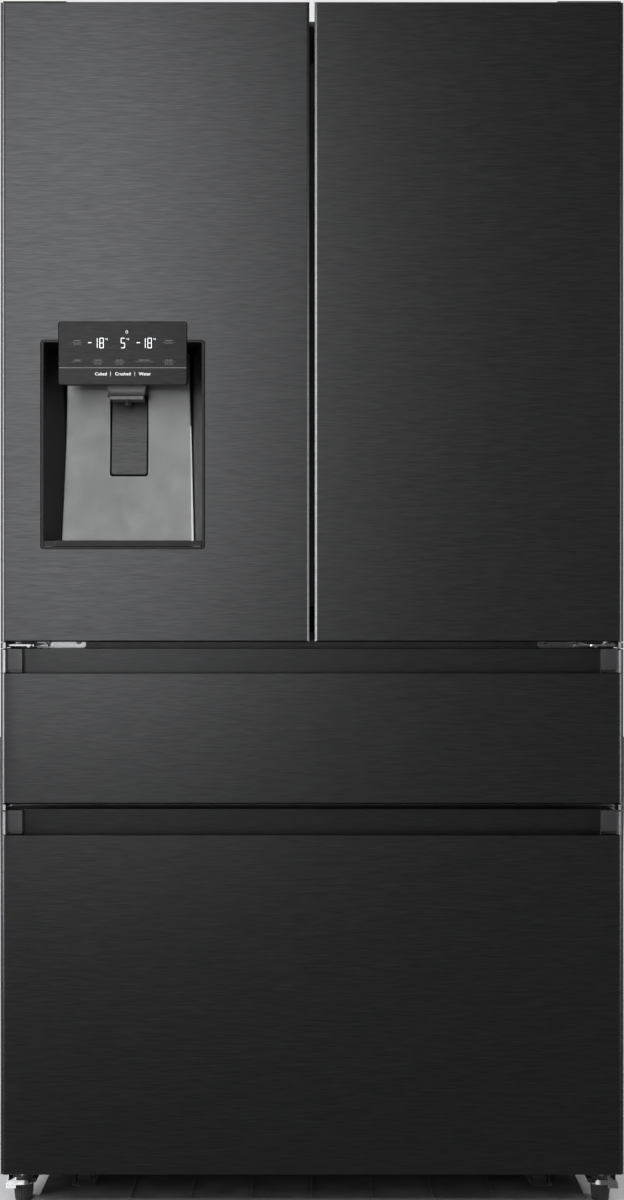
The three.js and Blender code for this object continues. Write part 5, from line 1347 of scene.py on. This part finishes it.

# ---------------------------------------------------------------- ice room
# Ice is made in an insulated white box high on the left door. Its lid has a pressed field, a latch
# and slots that let cold air in.
low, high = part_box("ice_compartment")
finish_node("ice_compartment", "ice_room_box", "left_door", white_plastic, "white_plastic",
            rounding=0.0030, steps=3)
lid_margin = 0.011
lid = cuboid("ice_room_lid", (low.x + lid_margin, high.x - lid_margin),
             (high.y - 0.0075, high.y - 0.0015), (low.z + lid_margin, high.z - lid_margin))
slots_z = [high.z - 0.050 - 0.012 * row for row in range(4)]
for z in slots_z:
    slot_x = (low.x + 0.060, high.x - 0.060)
    slot_y = (high.y - 0.02, high.y + 0.01)
    cut(lid, slot_cutter("lid_slot", slot_x, slot_y, (z, z + 0.005), 0.0020))
pressed = cuboid("lid_field", (low.x + 0.030, high.x - 0.030), (high.y - 0.0035, high.y),
                 (low.z + 0.030, slots_z[-1] - 0.020))
round_corners(pressed, depth_edge, 0.012, 5)
cut(lid, pressed)
fit(lid, "left_door", white_plastic, "white_plastic", rounding=0.0012, steps=3)
latch = cuboid("ice_room_latch", (high.x - 0.046, high.x - 0.034), (high.y - 0.0040, high.y - 0.0004),
               (low.z + 0.125, low.z + 0.175))
inset(latch, rearward, 0.0022, -0.0010)
fit(latch, "left_door", chute_grey, "dark_plastic", rounding=0.0008)

# ---------------------------------------------------------------- mullion flap
# The strip behind the meeting doors is a grey moulding on the left door. It folds as the door opens, led
# by dark guides on the cabinet, and a rib runs down its face between rounded ends. The guides' black is
# partly their own colour and partly painted shade that darkens the gap between the doors.
flap_low, flap_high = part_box("mullion_flap")
flap_grey = moulded("flap_grey", (0.34, 0.343, 0.348), (0.38, 0.383, 0.388), 0.45, 1300, 0.0001)
flap_plate_back = flap_low.y + 0.007
strip = cuboid("mullion_strip", (flap_low.x, flap_high.x), (flap_low.y + 0.0010, flap_plate_back),
               (flap_low.z, flap_high.z))
round_corners(strip, depth_edge, 0.005, 4)
inset(strip, frontal, 0.004, -0.0004)
spine = cuboid("mullion_spine", (-0.0260, -0.0020), (flap_plate_back - 0.0002, flap_high.y),
               (flap_low.z + 0.002, flap_high.z - 0.002))
move(spine, lambda c, n: near(c.y, flap_high.y) and c.x < -0.02, (0.003, 0, 0))
move(spine, lambda c, n: near(c.y, flap_high.y) and c.x > -0.01, (-0.003, 0, 0))
rib_half = 0.0023
rib = cuboid("mullion_rib", (-rib_half, rib_half), (flap_low.y, flap_low.y + 0.0012),
             (flap_low.z + 0.004, flap_high.z - 0.004))
round_corners(rib, depth_edge, 0.0021, 5)
flap = weld("mullion_strip", [strip, spine, rib])
fit(flap, "mullion_flap", flap_grey, "dark_plastic", ["mullion_flap"], rounding=0.0005)

# The guides fill the gap above and below the strip and cover the grey cabinet edge there. Their black is
# partly painted shade for that gap.
guide_half = 0.0085
for word, z in (("upper", (1.7066, 1.7625)), ("lower", (0.8485, 0.8875))):
    guide = cuboid("flap_shade_guide_" + word, (-guide_half, guide_half), (-0.2846, -0.2700), z)
    split(guide, "z", (z[0] + z[1]) / 2)
    inset(guide, frontal, 0.0016, -0.0005, apart=True)
    fit(guide, "cabinet", niche_black, "dark_plastic", rounding=0.0006)

# ---------------------------------------------------------------- inside the drawers
# Each front carries a white inner panel, two zinc runners tied across the back, and a white bin
# that hangs on them by its flanges.
for word, body in drawers:
    inside_front(word + "_inner_panel", word + "_inner_moulding", body)
    finish_node(word + "_frame", word + "_runners", body, zinc, "zinc", rounding=0.0006)
    finish_node(word + "_bin", word + "_tub", body, white_plastic, "white_plastic", rounding=0.0018,
                steps=3)
